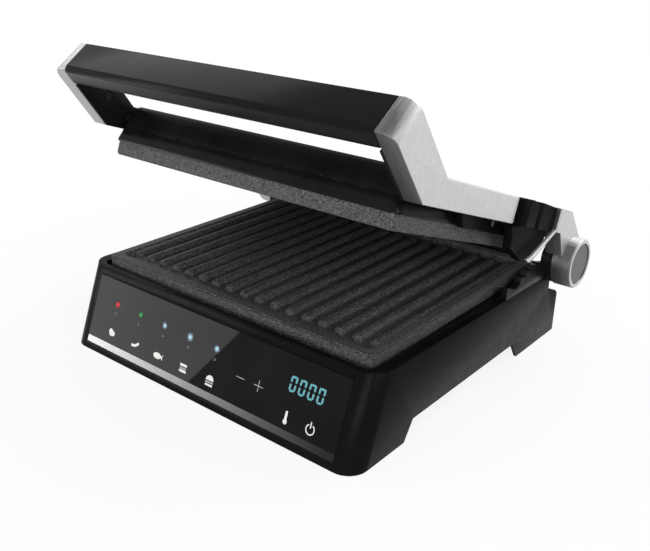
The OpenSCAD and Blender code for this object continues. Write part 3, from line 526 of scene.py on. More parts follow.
@dataclass(frozen=True)
class NonStickCoating:
    """Dark grey coating with pale and dark speckles on a die-cast plate."""

    name: str
    ground: Colour = (0.036, 0.036, 0.037)
    pale: Colour = (0.105, 0.105, 0.107)
    dark: Colour = (0.010, 0.010, 0.0105)
    cloud: float = 45 * MM
    pale_speck: float = 1.3 * MM
    dark_speck: float = 1.6 * MM
    pebble: float = 1.0 * MM
    wave: float = 8 * MM
    specular: float = 0.25

    def make(self) -> bpy.types.Material:
        """Builds the material.

        Returns:
            The material.
        """
        graph = Graph(self.name)
        clouds = graph.mottle(self.cloud, 3.0, cut=(0.35, 0.65))
        base = graph.blend(clouds, self.ground, shade(self.ground, 1.25))
        pale = graph.mottle(self.pale_speck, 1.0, cut=(0.54, 0.62))
        base = graph.blend(pale, base, self.pale)
        dark = graph.mottle(self.dark_speck, 1.0, cut=(0.56, 0.64))
        graph.paint(graph.blend(dark, base, self.dark))
        graph.polish(graph.mottle(self.pale_speck, 2.0, (0.50, 0.66)))
        pebbles = graph.relief(graph.noise(self.pebble, 2.0), 0.10 * MM, 0.6)
        graph.relief(graph.noise(self.wave, 2.0), 0.08 * MM, 0.3, pebbles)
        graph.set(Specular_IOR_Level=self.specular)
        return graph.material


@dataclass(frozen=True)
class RolledSteel:
    """Sheet or bar steel with fine lines along one direction."""

    name: str
    colour: Colour = (0.56, 0.56, 0.56)
    roughness: float = 0.30
    along: Triple = (0.06, 1.0, 1.0)
    line: float = 0.5 * MM
    depth: float = 0.01 * MM

    def make(self) -> bpy.types.Material:
        """Builds the material.

        Returns:
            The material.
        """
        graph = Graph(self.name)
        lines = graph.mottle(self.line, 3.0, stretch=self.along)
        graph.paint(graph.blend(lines, shade(self.colour, 0.72), self.colour))
        graph.polish(graph.span(lines, 0.0, 1.0, self.roughness, self.roughness + 0.12))
        graph.relief(lines, self.depth, 0.4)
        graph.set(Metallic=1.0)
        return graph.material


@dataclass(frozen=True)
class MirrorStrip:
    """Polished metal strip with a painted reflection, light at the left and dark at the right."""

    name: str
    # The two ends of the painted reflection.
    painted_reflection_bright: Colour = (0.36, 0.36, 0.36)
    dark: Colour = (0.020, 0.020, 0.019)
    half: float = 150 * MM
    fall: float = 1.4
    line: float = 0.6 * MM
    roughness: float = 0.38
    depth: float = 0.005 * MM

    def make(self) -> bpy.types.Material:
        """Builds the material.

        Returns:
            The material.
        """
        graph = Graph(self.name)
        # Painted reflection: the colour fades from the left end to the right end along X.
        place = graph.span(graph.along("X"), -self.half, self.half, 1.0, 0.0)
        fade = graph.maths("POWER", place, self.fall)
        lines = graph.mottle(self.line, 3.0, stretch=(0.03, 1.0, 1.0))
        painted_reflection = graph.blend(fade, self.dark, self.painted_reflection_bright)
        duller_painted_reflection = graph.blend(fade, shade(self.dark, 0.8), shade(self.painted_reflection_bright, 0.9))
        graph.paint(graph.blend(lines, duller_painted_reflection, painted_reflection))
        graph.polish(graph.span(lines, 0.0, 1.0, self.roughness, self.roughness + 0.08))
        graph.relief(lines, self.depth, 0.3)
        graph.set(Metallic=1.0)
        return graph.material


@dataclass(frozen=True)
class FootRubber:
    """Matt black rubber."""

    name: str
    colour: Colour = (0.012, 0.012, 0.012)
    dusty: Colour = (0.035, 0.034, 0.033)
    dust: float = 3 * MM
    grain: float = 0.6 * MM

    def make(self) -> bpy.types.Material:
        """Builds the material.

        Returns:
            The material.
        """
        graph = Graph(self.name)
        dust = graph.mottle(self.dust, 4.0, cut=(0.5, 0.8))
        graph.paint(graph.blend(dust, self.colour, self.dusty))
        graph.polish(graph.span(dust, 0.0, 1.0, 0.70, 0.85))
        graph.relief(graph.noise(self.grain, 2.0), 0.04 * MM, 0.5)
        graph.set(Specular_IOR_Level=0.25)
        return graph.material


@dataclass(frozen=True)
class BoardLacquer:
    """Green solder mask with paler tracks below it."""

    name: str
    field_colours: tuple[Colour, Colour] = ((0.020, 0.110, 0.050), (0.016, 0.090, 0.042))
    track: Colour = (0.050, 0.200, 0.090)
    pitch: float = 6.25 * MM
    track_share: float = 0.03

    def make(self) -> bpy.types.Material:
        """Builds the material.

        Returns:
            The material.
        """
        graph = Graph(self.name)
        bricks = graph.add("ShaderNodeTexBrick")
        bricks.inputs["Scale"].default_value = 1.0 / self.pitch
        bricks.inputs["Mortar Size"].default_value = self.track_share
        for key, colour in zip(("Color1", "Color2", "Mortar"), (*self.field_colours, self.track)):
            bricks.inputs[key].default_value = (*colour, 1.0)
        graph.link(graph.place(), bricks.inputs["Vector"])
        graph.paint(bricks.outputs["Color"])
        graph.polish(graph.mottle(2 * MM, 3.0, (0.25, 0.40)))
        graph.relief(bricks.outputs["Fac"], 0.02 * MM, 0.4)
        return graph.material


@dataclass(frozen=True)
class PanelGlass:
    """Black back-painted glass."""

    name: str
    colour: Colour = (0.0045, 0.0045, 0.005)
    paler: Colour = (0.008, 0.008, 0.0085)
    cloud: float = 80 * MM
    smear: float = 18 * MM
    wave: float = 90 * MM
    roughness: Point = (0.015, 0.045)
    specular: float = 0.05

    def make(self) -> bpy.types.Material:
        """Builds the material.

        Returns:
            The material.
        """
        graph = Graph(self.name)
        clouds = graph.mottle(self.cloud, 2.0, cut=(0.35, 0.65))
        graph.paint(graph.blend(clouds, self.colour, self.paler))
        graph.polish(
            graph.mottle(self.smear, 5.0, self.roughness, (0.4, 0.8), stretch=(1.0, 1.0, 0.5))
        )
        graph.relief(graph.noise(self.wave, 1.0), 0.01 * MM, 0.05)
        graph.set(Specular_IOR_Level=self.specular)
        return graph.material


@dataclass(frozen=True)
class PrintedInk:
    """Ink or a lamp's light behind the glass, with a soft unevenness; on printed ink the glow is
    painted light.
    """

    name: str
    colour: Colour
    glow: float = 0.6
    patch: float = 1.5 * MM

    def make(self) -> bpy.types.Material:
        """Builds the material.

        Returns:
            The material.
        """
        graph = Graph(self.name)
        uneven = graph.mottle(self.patch)
        mixed = graph.blend(uneven, shade(self.colour, 0.86), self.colour)
        graph.paint(mixed)
        # On printed ink this glow is painted light; on lamps and lit segments it is their own
        # light.
        graph.link(mixed, graph.shader.inputs["Emission Color"])
        graph.set(Emission_Strength=self.glow, Roughness=0.35, Specular_IOR_Level=0.2)
        return graph.material


@dataclass(frozen=True)
class LampHalo:
    """Light that fades out round a lamp behind the glass."""

    name: str
    colour: Colour
    centre: Vector
    radius: float
    strength: float = 1.0
    fall: float = 2.4

    def make(self) -> bpy.types.Material:
        """Builds the material.

        Returns:
            The material.
        """
        graph = Graph(self.name)
        away = graph.add("ShaderNodeVectorMath", operation="DISTANCE")
        away.inputs[1].default_value = tuple(self.centre)
        graph.link(graph.place(), away.inputs[0])
        fade = graph.span(away.outputs["Value"], 0.0, self.radius, 1.0, 0.0)
        graph.link(graph.maths("POWER", fade, self.fall), graph.shader.inputs["Alpha"])
        graph.set(
            Base_Color=(*self.colour, 1.0),
            Emission_Color=(*self.colour, 1.0),
            Emission_Strength=self.strength,
            Roughness=0.4,
            Specular_IOR_Level=0.0,
        )
        return graph.material


class Finish(Enum):
    """The finishes of the grill's surfaces."""

    HOUSING = MouldedPlastic("housing plastic", (0.0028, 0.0028, 0.0029), 0.26, 0.028)
    BOTTOM = MouldedPlastic("bottom plastic", (0.012, 0.012, 0.012), 0.62, 0.20)
    TOWER = MouldedPlastic("hinge plastic", (0.0040, 0.0040, 0.0042), 0.34, 0.10)
    COVER = MouldedPlastic("cover plastic", (0.0022, 0.0022, 0.0023), 0.40, 0.02)
    TRAY = MouldedPlastic("tray plastic", (0.012, 0.012, 0.012), 0.40, 0.25)
    FRAME = PolishedPlastic("lid frame plastic", (0.0040, 0.0040, 0.0041), 0.18, 0.07)
    LID = PolishedPlastic("lid plastic", (0.0048, 0.0048, 0.0049), 0.18, 0.025)
    BLACKENED = MouldedPlastic("blackened screw", (0.010, 0.010, 0.010), 0.45, 0.10)
    HANDLE = LeatherGrain("handle plastic", (0.0040, 0.0040, 0.0042))
    FEET = FootRubber("foot rubber")
    GLASS = PanelGlass("panel glass")
    # The trim's colour, fading from left to right, is a painted reflection.
    TRIM = MirrorStrip("polished trim")
    # The silver's dark face colour is painted shade on the surfaces that face the front.
    SILVER = CastSilver("silver casting", face=(0.13, 0.131, 0.133))
    DISC = TurnedMetal("dark turned disc", (0.11, 0.11, 0.115))
    PLATE = NonStickCoating("speckled coating")
    ELEMENT = RolledSteel("element steel", (0.30, 0.28, 0.26), 0.45)
    PAN = RolledSteel("reflector steel", (0.62, 0.62, 0.62), 0.25)
    FASTENER = RolledSteel("zinc steel", (0.55, 0.55, 0.56), 0.35, (1.0, 1.0, 1.0))
    SENSOR = CastSilver("sensor cap", (0.62, 0.62, 0.63), (0.62, 0.62, 0.63), 0.30)
    BUSH = RolledSteel("bush brass", (0.62, 0.46, 0.20), 0.30)
    BOARD = BoardLacquer("board lacquer")
    DISPLAY = PolishedPlastic("display filter", (0.006, 0.007, 0.008))
    LAMP = PrintedInk("lamp lens", (0.70, 0.75, 0.80), 0.2)
    # The printed symbols' glow is painted light.
    INK = PrintedInk("white symbol", (0.56, 0.56, 0.54), 0.22)
    FINE_INK = PrintedInk("fine symbol", (0.34, 0.34, 0.33), 0.15)
    FAINT_INK = PrintedInk("faint mark", (0.16, 0.13, 0.12), 0.12)
    DIGIT = PrintedInk("lit segment", (0.09, 0.27, 0.31), 0.28)

    def material(self) -> bpy.types.Material:
        """Gives the finish's one material, made on first use."""
        return bpy.data.materials.get(self.value.name) or self.value.make()


# ------------------------------------------------------------------------ shapes


def arc(centre: Point, radius: float, start: float, end: float, steps: int = 16) -> list[Point]:
    """Gives points along an arc.

    Args:
        centre: the arc's centre.
        radius: its radius.
        start: its first angle in degrees.
        end: its last angle in degrees.
        steps: how many stretches it has.

    Returns:
        The points from start to end.
    """
    points = []
    for i in range(steps + 1):
        angle = math.radians(start + (end - start) * i / steps)
        points.append(
            (centre[0] + radius * math.cos(angle), centre[1] + radius * math.sin(angle))
        )
    return points


def oval(centre: Point, half_width: float, half_height: float, steps: int) -> list[Point]:
    """Gives points round an oval.

    Args:
        centre: its centre.
        half_width: half its width.
        half_height: half its height.
        steps: how many points it has.

    Returns:
        The points, counter-clockwise.
    """
    angles = (2 * math.pi * i / steps for i in range(steps))
    return [
        (centre[0] + half_width * math.cos(a), centre[1] + half_height * math.sin(a))
        for a in angles
    ]


def band(centre: Point, inner: float, outer: float, start: float, end: float) -> list[Point]:
    """Gives the outline of a part of a ring."""
    return arc(centre, outer, start, end, RING_STEPS) + arc(centre, inner, end, start, RING_STEPS)


def box_outline(low: Point, high: Point) -> list[Point]:
    """Gives a rectangle's corners."""
    return [low, (high[0], low[1]), high, (low[0], high[1])]


def prism(
    name: str,
    outlines: Iterable[Sequence[Point]],
    thickness: float,
    frame: Matrix,
    finish: bpy.types.Material,
) -> bpy.types.Object:
    """Builds flat plates of one thickness from their outlines.

    Args:
        name: the object's name.
        outlines: each plate's outline as (x, z) in the frame, counter-clockwise.
        thickness: the plates' thickness, towards the frame's -Y.
        frame: the frame's place in the model.
        finish: the material.

    Returns:
        The object.
    """
    mesh = bmesh.new()
    for outline in outlines:
        front = [mesh.verts.new(frame @ Vector((x, -thickness, z))) for x, z in outline]
        back = [mesh.verts.new(frame @ Vector((x, 0.0, z))) for x, z in outline]
        mesh.faces.new(front)
        mesh.faces.new(list(reversed(back)))
        for i, corner in enumerate(front):
            j = (i + 1) % len(front)
            mesh.faces.new((corner, back[i], back[j], front[j]))
    return finish_mesh(name, mesh, finish)


def finish_mesh(
    name: str, mesh: bmesh.types.BMesh, finish: bpy.types.Material, smooth: bool = False
) -> bpy.types.Object:
    """Turns a bmesh into an object with one material.

    Args:
        name: the object's name.
        mesh: the bmesh, which is freed.
        finish: the material.
        smooth: whether its faces are shaded smooth.

    Returns:
        The object, linked to the scene.
    """
    bmesh.ops.recalc_face_normals(mesh, faces=mesh.faces)
    data = bpy.data.meshes.new(name)
    mesh.to_mesh(data)
    mesh.free()
    data.materials.append(finish)
    for face in data.polygons:
        face.use_smooth = smooth
    piece = bpy.data.objects.new(name, data)
    bpy.context.scene.collection.objects.link(piece)
    return piece


def seat(piece: bpy.types.Object, body: str) -> bpy.types.Object:
    """Makes a piece ride on a body.

    Args:
        piece: the piece.
        body: the body's name.

    Returns:
        The piece.
    """
    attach(piece, body)
    return piece


@dataclass
class Edging:
    """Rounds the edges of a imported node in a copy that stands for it."""

    nodes: dict[str, bpy.types.Object]
    segments: int = 3
    sharp: float = math.radians(28.0)
    flat: float = math.radians(0.8)
    weld: float = 0.004 * MM

    def soften(
        self, node: str, radius: float, finish: Finish, body: str, slot: str
    ) -> bpy.types.Object:
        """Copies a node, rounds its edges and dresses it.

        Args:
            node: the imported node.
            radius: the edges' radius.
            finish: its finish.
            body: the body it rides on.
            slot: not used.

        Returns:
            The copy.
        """
        mesh = bmesh.new()
        mesh.from_mesh(self.nodes[node].data)
        bmesh.ops.remove_doubles(mesh, verts=mesh.verts, dist=self.weld)
        bmesh.ops.dissolve_limit(
            mesh, angle_limit=self.flat, verts=mesh.verts, edges=mesh.edges
        )
        piece = finish_mesh(f"{node}_edged", mesh, finish.material(), True)
        bevel = piece.modifiers.new("edges", "BEVEL")
        bevel.width = radius
        bevel.segments = self.segments
        bevel.limit_method = "ANGLE"
        bevel.angle_limit = self.sharp
        bevel.harden_normals = True
        bevel.miter_outer = "MITER_ARC"
        seat(piece, body)
        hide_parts(node)
        LOG.info("rounded the edges of %s", node)
        return piece

    def dress(self, node: str, finish: Finish) -> None:
        """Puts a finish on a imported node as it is.

        Args:
            node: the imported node.
            finish: its finish.
        """
        data = self.nodes[node].data
        if not data.materials:
            data.materials.append(finish.material())
        for i in range(len(data.materials)):
            data.materials[i] = finish.material()
        LOG.info("dressed %s", node)


# ------------------------------------------------------------------ sub-assemblies


@dataclass
class ControlPanel:
    """The leaning glass with its symbols, lamps and four-digit display.

    A point of the glass is (x, height), with the height measured up the lean.
    """

    foot_y: float = -0.1675
    foot_z: float = 0.001
    glass_face: float = -0.3 * MM
    lift: float = 0.04 * MM
    print_depth: float = 0.05 * MM
    glow_depth: float = 0.02 * MM
    lamp_height: float = 50.9 * MM
    lamp_x: tuple[float, ...] = (-0.119, -0.0862, -0.0534, -0.0206, 0.0122)
    lamp_radius: float = 4.6 * MM
    lamp_strength: float = 0.5
    ring_height: float = 42.0 * MM
    symbol_height: float = 22.9 * MM
    sign_height: float = 36.7 * MM
    minus_x: float = 44.0 * MM
    plus_x: float = 64.4 * MM
    key_height: float = 22.5 * MM
    thermometer_x: float = 98.0 * MM
    power_x: float = 123.0 * MM
    display_x: float = 111.0 * MM
    display_height: float = 50.1 * MM
    digits: int = 4
    digit_height: float = 13.0 * MM
    digit_width: float = 6.6 * MM
    digit_pitch: float = 9.3 * MM
    digit_stroke: float = 1.75 * MM
    digit_gap: float = 0.12 * MM
    digit_slant: float = math.radians(4.0)
    frame: Matrix = field(init=False)

    def __post_init__(self) -> None:
        """Sets the frame that lies on the glass, with Z up the lean."""
        self.frame = (
            Matrix.Translation((0.0, self.foot_y, self.foot_z))
            @ Matrix.Rotation(-PANEL_LEAN, 4, "X")
            @ Matrix.Translation((0.0, self.glass_face - self.lift, 0.0))
        )

    def on_glass(self, point: Point) -> Vector:
        """Gives where a point of the glass's face lies in the model."""
        return self.frame @ Vector((point[0], self.lift, point[1]))

    def mirrored(self, point: Vector) -> Vector:
        """Mirrors a point in the glass's face.

        Args:
            point: a point in the model.

        Returns:
            Its mirror image.
        """
        local = self.frame.inverted() @ point
        return self.frame @ Vector((local.x, 2 * self.lift - local.y, local.z))

    def mark(self, name: str, outlines: Iterable[Sequence[Point]], finish: Finish) -> None:
        """Puts one printed or lit mark on the glass.

        Args:
            name: the piece's name.
            outlines: the outlines that it has on the glass.
            finish: its finish.
        """
        piece = prism(name, outlines, self.print_depth, self.frame, finish.material())
        seat(piece, "base")
        LOG.info("mark %s", name)

    def build(self) -> None:
        """Builds everything that shows on the glass."""
        self.lamps()
        self.symbols()
        self.display()

    def lamps(self) -> None:
        """Builds the five programme lamps with their halos."""
        colours = ((0.55, 0.05, 0.06), (0.06, 0.38, 0.11)) + ((0.34, 0.52, 0.60),) * 3
        sizes = (1.0, 0.72, 0.85, 1.05, 0.9)
        for i, (x, colour, size) in enumerate(zip(self.lamp_x, colours, sizes)):
            self.glow(f"lamp_{i + 1}", (x, self.lamp_height), self.lamp_radius * size, colour)

    def glow(self, name: str, middle: Point, radius: float, colour: Colour) -> None:
        """Puts a round glow behind the glass's print.

        Args:
            name: the piece's name.
            middle: its middle on the glass.
            radius: how far it reaches.
            colour: its colour.
        """
        outline = arc(middle, radius, 0, 360, 31)[:-1]
        centre = self.frame @ Vector((middle[0], -self.glow_depth, middle[1]))
        halo = LampHalo(name.replace("_", " "), colour, centre, radius, self.lamp_strength)
        seat(prism(name, [outline], self.glow_depth, self.frame, halo.make()), "base")

    def symbols(self) -> None:
        """Builds each programme's symbol below its lamp, then the keys."""
        drawings = (self.steak, self.sausage, self.fish, self.sandwich, self.burger)
        for draw, x in zip(drawings, self.lamp_x):
            draw(x, self.symbol_height)
        self.lamp_rings()
        self.keys()

    def steak(self, x: float, row: float) -> None:
        """Draws a steak with an uneven edge.

        Args:
            x: the symbol's middle.
            row: its height on the glass.
        """
        points = 28
        middle = row + 1.0 * MM
        outline = []
        for i in range(points):
            angle = 2 * math.pi * i / points
            bulge = 0.9 * math.cos(2 * angle + 0.8) + 0.5 * math.cos(3 * angle)
            radius = (5.0 + bulge) * 0.72 * MM
            outline.append((x + radius * math.cos(angle), middle + radius * math.sin(angle)))
        self.mark("symbol_steak", [outline], Finish.INK)

    def sausage(self, x: float, row: float) -> None:
        """Draws a bent sausage.

        Args:
            x: the symbol's middle.
            row: its height on the glass.
        """
        bend = (x - 1.5 * MM, row + 7.5 * MM)
        outline = arc(bend, 9.6 * MM, -104, -34, 20) + arc(bend, 7.2 * MM, -34, -104, 20)
        self.mark("symbol_sausage", [outline], Finish.INK)

    def fish(self, x: float, row: float) -> None:
        """Draws a fish with a forked tail.

        Args:
            x: the symbol's middle.
            row: its height on the glass.
        """
        body = oval((x - 1.0 * MM, row), 5.0 * MM, 2.8 * MM, 24)
        tip, spread = x + 6.2 * MM, 2.6 * MM
        tail = [(x + 3.0 * MM, row), (tip, row - spread), (x + 5.4 * MM, row), (tip, row + spread)]
        self.mark("symbol_fish", [body, tail], Finish.INK)

    def sandwich(self, x: float, row: float) -> None:
        """Draws two slices of bread and their filling.

        Args:
            x: the symbol's middle.
            row: its height on the glass.
        """
        half, thickness = 4.2 * MM, 2.2 * MM
        slices = [
            box_outline((x - half, row + low), (x + half, row + low + thickness))
            for low in (-3.8 * MM, 1.4 * MM)
        ]
        filling = box_outline((x - 3.9 * MM, row - 0.9 * MM), (x + 3.9 * MM, row + 0.3 * MM))
        self.mark("symbol_sandwich", slices, Finish.INK)
        self.mark("symbol_sandwich_filling", [filling], Finish.FINE_INK)

    def burger(self, x: float, row: float) -> None:
        """Draws a round bun, its heel and the patty between them.

        Args:
            x: the symbol's middle.
            row: its height on the glass.
        """
        bun = arc((x, row + 0.2 * MM), 4.5 * MM, 0, 180, 18)
        patty = box_outline((x - 4.5 * MM, row - 2.0 * MM), (x + 4.5 * MM, row - 0.8 * MM))
        heel = box_outline((x - 4.2 * MM, row - 4.6 * MM), (x + 4.2 * MM, row - 2.9 * MM))
        self.mark("symbol_burger", [bun, heel], Finish.INK)
        self.mark("symbol_burger_filling", [patty], Finish.FINE_INK)

    def lamp_rings(self) -> None:
        """Draws a faint ring below each lamp, each with its opening turned further."""
        for i, x in enumerate(self.lamp_x):
            start, end = 20 + 40 * i, 320 + 30 * i
            ring = band((x, self.ring_height), 0.9 * MM, 1.35 * MM, start, end)
            self.mark(f"lamp_mark_{i + 1}", [ring], Finish.FAINT_INK)

    def keys(self) -> None:
        """Builds minus, plus, the thermometer and the power key."""
        row, thin = self.sign_height, 0.28 * MM
        x, reach = self.minus_x, 4.6 * MM
        minus = box_outline((x - reach, row - thin), (x + reach, row + thin))
        x, reach = self.plus_x, 4.8 * MM
        across = box_outline((x - reach, row - thin), (x + reach, row + thin))
        upper = box_outline((x - thin, row + thin), (x + thin, row + reach))
        lower = box_outline((x - thin, row - reach), (x + thin, row - thin))
        self.mark("key_minus", [minus], Finish.FINE_INK)
        self.mark("key_plus", [across, upper, lower], Finish.FINE_INK)
        x, z = self.thermometer_x, self.key_height
        bulb = arc((x, z - 3.0 * MM), 2.1 * MM, 128, 412, 22)
        stem = arc((x, z + 4.8 * MM), 1.1 * MM, 0, 180, 10)
        self.mark("key_thermometer", [bulb + stem], Finish.INK)
        x, half = self.power_x, 0.55 * MM
        ring = band((x, z), 3.5 * MM, 4.5 * MM, 118, 422)
        bar = box_outline((x - half, z + 1.0 * MM), (x + half, z + 6.2 * MM))
        self.mark("key_power", [ring, bar], Finish.INK)

    def display(self) -> None:
        """Builds four slanted digits of lit segments, each showing a nought."""
        slant = math.tan(self.digit_slant)
        low = self.display_height - self.digit_height / 2
        first = self.display_x - (self.digits - 1) / 2 * self.digit_pitch - self.digit_width / 2
        segments: list[list[Point]] = []
        for i in range(self.digits):
            left = first + i * self.digit_pitch
            for outline in self.nought():
                segments.append([(left + x + z * slant, low + z) for x, z in outline])
        self.mark("display_digits", segments, Finish.DIGIT)

    def nought(self) -> list[list[Point]]:
        """Gives the six lit segments of a nought, two across and four upright.

        Returns:
            The segments' outlines, measured from the digit's lower left corner.
        """
        width, half = self.digit_width, self.digit_height / 2
        stroke, gap = self.digit_stroke, self.digit_gap
        tip = stroke * 0.4
        shapes = []
        # The lower bar's lower left corner reaches a little further out.
        for low, corner in ((0.0, stroke * 0.9), (self.digit_height - stroke, stroke)):
            shapes.append(
                [
                    (stroke / 2 + gap, low + stroke / 2),
                    (corner + gap, low),
                    (width - stroke - gap, low),
                    (width - stroke / 2 - gap, low + stroke / 2),
                    (width - stroke - gap, low + stroke),
                    (stroke + gap, low + stroke),
                ]
            )
        for left in (0.0, width - stroke):
            for low in (0.0, half):
                top = low + half - gap
                shapes.append(
                    [
                        (left, low + stroke + gap),
                        (left + stroke / 2, low + gap + tip),
                        (left + stroke, low + stroke + gap),
                        (left + stroke, top - tip),
                        (left + stroke / 2, top),
                        (left, top - tip),
                    ]
                )
        return shapes


@dataclass
class Base:
    """The housing with its plate, hinge towers and hidden inside."""

    edging: Edging
    shell_edge: float = 0.7 * MM
    tower_edge: float = 0.35 * MM
    crossbar_edge: float = 0.8 * MM

    def build(self) -> None:
        """Dresses every node of the base."""
        self.edging.soften("base_shell", self.shell_edge, Finish.HOUSING, "base", "housing")
        for side in ("left", "right"):
            self.edging.soften(
                f"hinge_tower_{side}", self.tower_edge, Finish.TOWER, "base", "tower"
            )
            self.edging.dress(f"hinge_collar_{side}", Finish.TOWER)
        self.edging.soften(
            "rear_crossbar", self.crossbar_edge, Finish.TOWER, "base", "tower"
        )
        self.edging.dress("lower_plate", Finish.PLATE)
        for node, finish in {
            "bottom_cover": Finish.BOTTOM,
            "rubber_feet": Finish.FEET,
            "bottom_screws": Finish.FASTENER,
            "control_glass": Finish.GLASS,
            "trim_strip": Finish.TRIM,
            "control_board": Finish.BOARD,
            "display_module": Finish.DISPLAY,
            "indicator_leds": Finish.LAMP,
            "power_board": Finish.BOARD,
            "cord_gland": Finish.FEET,
            "lower_heater": Finish.ELEMENT,
            "lower_reflector": Finish.PAN,
            "lower_clips": Finish.FASTENER,
            "lower_sensor": Finish.SENSOR,
            "hinge_pins": Finish.FASTENER,
            "drip_tray": Finish.TRAY,
        }.items():
            self.edging.dress(node, finish)


@dataclass
class ArmsAndHandle:
    """The silver arms, the handle and the moving side of the hinge."""

    edging: Edging
    arm_edge: float = 1.2 * MM
    liner_edge: float = 0.3 * MM
    leg_edge: float = 0.6 * MM
    handle_edge: float = 1.0 * MM
    stay_edge: float = 0.4 * MM

    def build(self) -> None:
        """Dresses every node of the arms."""
        for side in ("left", "right"):
            for node, radius, finish, slot in (
                ("arm", self.arm_edge, Finish.SILVER, "silver"),
                ("arm_liner", self.liner_edge, Finish.TOWER, "tower"),
                ("hinge_leg", self.leg_edge, Finish.SILVER, "silver"),
                ("hinge_cover", self.leg_edge, Finish.COVER, "tower"),
            ):
                self.edging.soften(f"{node}_{side}", radius, finish, "arms", slot)
        self.edging.soften("handle_bar", self.handle_edge, Finish.HANDLE, "arms", "handle")
        self.edging.soften("handle_back", self.handle_edge, Finish.HANDLE, "arms", "handle")
        self.edging.soften("stay_bars", self.stay_edge, Finish.SILVER, "arms", "silver")
        self.edging.soften("pivot_brackets", self.leg_edge, Finish.COVER, "arms", "tower")
        for node, finish in {
            "pivot_pins": Finish.FASTENER,
            "arm_screws": Finish.BLACKENED,
            "barrel_cap": Finish.DISC,
            "release_button": Finish.DISC,
        }.items():
            self.edging.dress(node, finish)


@dataclass
class Lid:
    """The floating lid with the upper plate."""

    edging: Edging
    edge: float = 0.12 * MM

    def build(self) -> None:
        """Dresses every node of the lid."""
        self.edging.soften("lid_cover", self.edge, Finish.LID, "lid", "lid")
        self.edging.soften("lid_frame", self.edge, Finish.FRAME, "lid", "lid_frame")
        self.edging.dress("upper_plate", Finish.PLATE)
        for node, finish in {
            "upper_heater": Finish.ELEMENT,
            "upper_reflector": Finish.PAN,
            "upper_clips": Finish.FASTENER,
            "upper_sensor": Finish.SENSOR,
            "pivot_bushes": Finish.BUSH,
            "lid_screws": Finish.FASTENER,
        }.items():
            self.edging.dress(node, finish)


# ------------------------------------------------------------------------- studio


def bright_rays(tree: bpy.types.NodeTree) -> bpy.types.NodeSocket:
    """Finds the rays that see white surroundings.

    Args:
        tree: the node tree to build in.

    Returns:
        1 on camera, glossy and transmission rays, and 0 on all others.
    """
    path = tree.nodes.new("ShaderNodeLightPath")
    seen = path.outputs["Is Camera Ray"]
    for ray in ("Is Glossy Ray", "Is Transmission Ray"):
        most = tree.nodes.new("ShaderNodeMath")
        most.operation = "MAXIMUM"
        tree.links.new(seen, most.inputs[0])
        tree.links.new(path.outputs[ray], most.inputs[1])
        seen = most.outputs["Value"]
    return seen


def area_lamp(name: str, size: Point, power: float) -> bpy.types.Object:
    """Makes a rectangular lamp.

    Args:
        name: the lamp's name.
        size: its width and height in metres.
        power: its power in watts.

    Returns:
        The lamp, linked to the scene.
    """
    data = bpy.data.lights.new(name, "AREA")
    data.shape = "RECTANGLE"
    data.size, data.size_y = size
    data.energy = power
    lamp = bpy.data.objects.new(name, data)
    bpy.context.scene.collection.objects.link(lamp)
    return lamp


@dataclass(frozen=True)
class Softbox:
    """One studio lamp that stands round the grill, its angles in degrees."""

    name: str
    azimuth: float
    rise: float
    distance: float
    size: Point
    power: float
    aim: Triple = (0.0, 0.0, 0.10)

    def build(self) -> None:
        """Hangs the lamp and turns it to its aim."""
        turn, rise = math.radians(self.azimuth), math.radians(self.rise)
        across = math.cos(rise)
        ray = Vector((math.cos(turn) * across, math.sin(turn) * across, math.sin(rise)))
        aim = Vector(self.aim)
        place = aim + ray * self.distance
        lamp = area_lamp(self.name, self.size, self.power)
        lamp.location = place
        lamp.rotation_euler = (aim - place).to_track_quat("-Z", "Y").to_euler()


@dataclass(frozen=True)
class PanelBox:
    """The lamp whose slanting edge shows in the panel's glass.

    Seen by the camera, its right edge crosses the glass from foot to head.
    """

    panel: ControlPanel
    name: str = "panel_box"
    foot: Point = (-14.0 * MM, 10.0 * MM)
    head: Point = (32.0 * MM, 72.0 * MM)
    distance: float = 2.3
    side: float = 0.6
    middle: float = 0.16
    power: float = 8.0

    def build(self, eye: Vector) -> None:
        """Hangs the lamp where the eye's mirror image sees it through the glass.

        Args:
            eye: the camera's place.
        """
        image = self.panel.mirrored(eye)
        foot, head = (
            image + (self.panel.on_glass(point) - image).normalized() * self.distance
            for point in (self.foot, self.head)
        )
        edge = (head - foot).normalized()
        leftward = edge.cross(image - foot).normalized()
        away = edge.cross(leftward)
        centre = foot + edge * self.middle + leftward * self.side / 2
        axes = Matrix((edge.cross(away), edge, away)).transposed().to_4x4()
        lamp = area_lamp(self.name, (self.side, self.side), self.power)
        lamp.matrix_world = Matrix.Translation(centre) @ axes


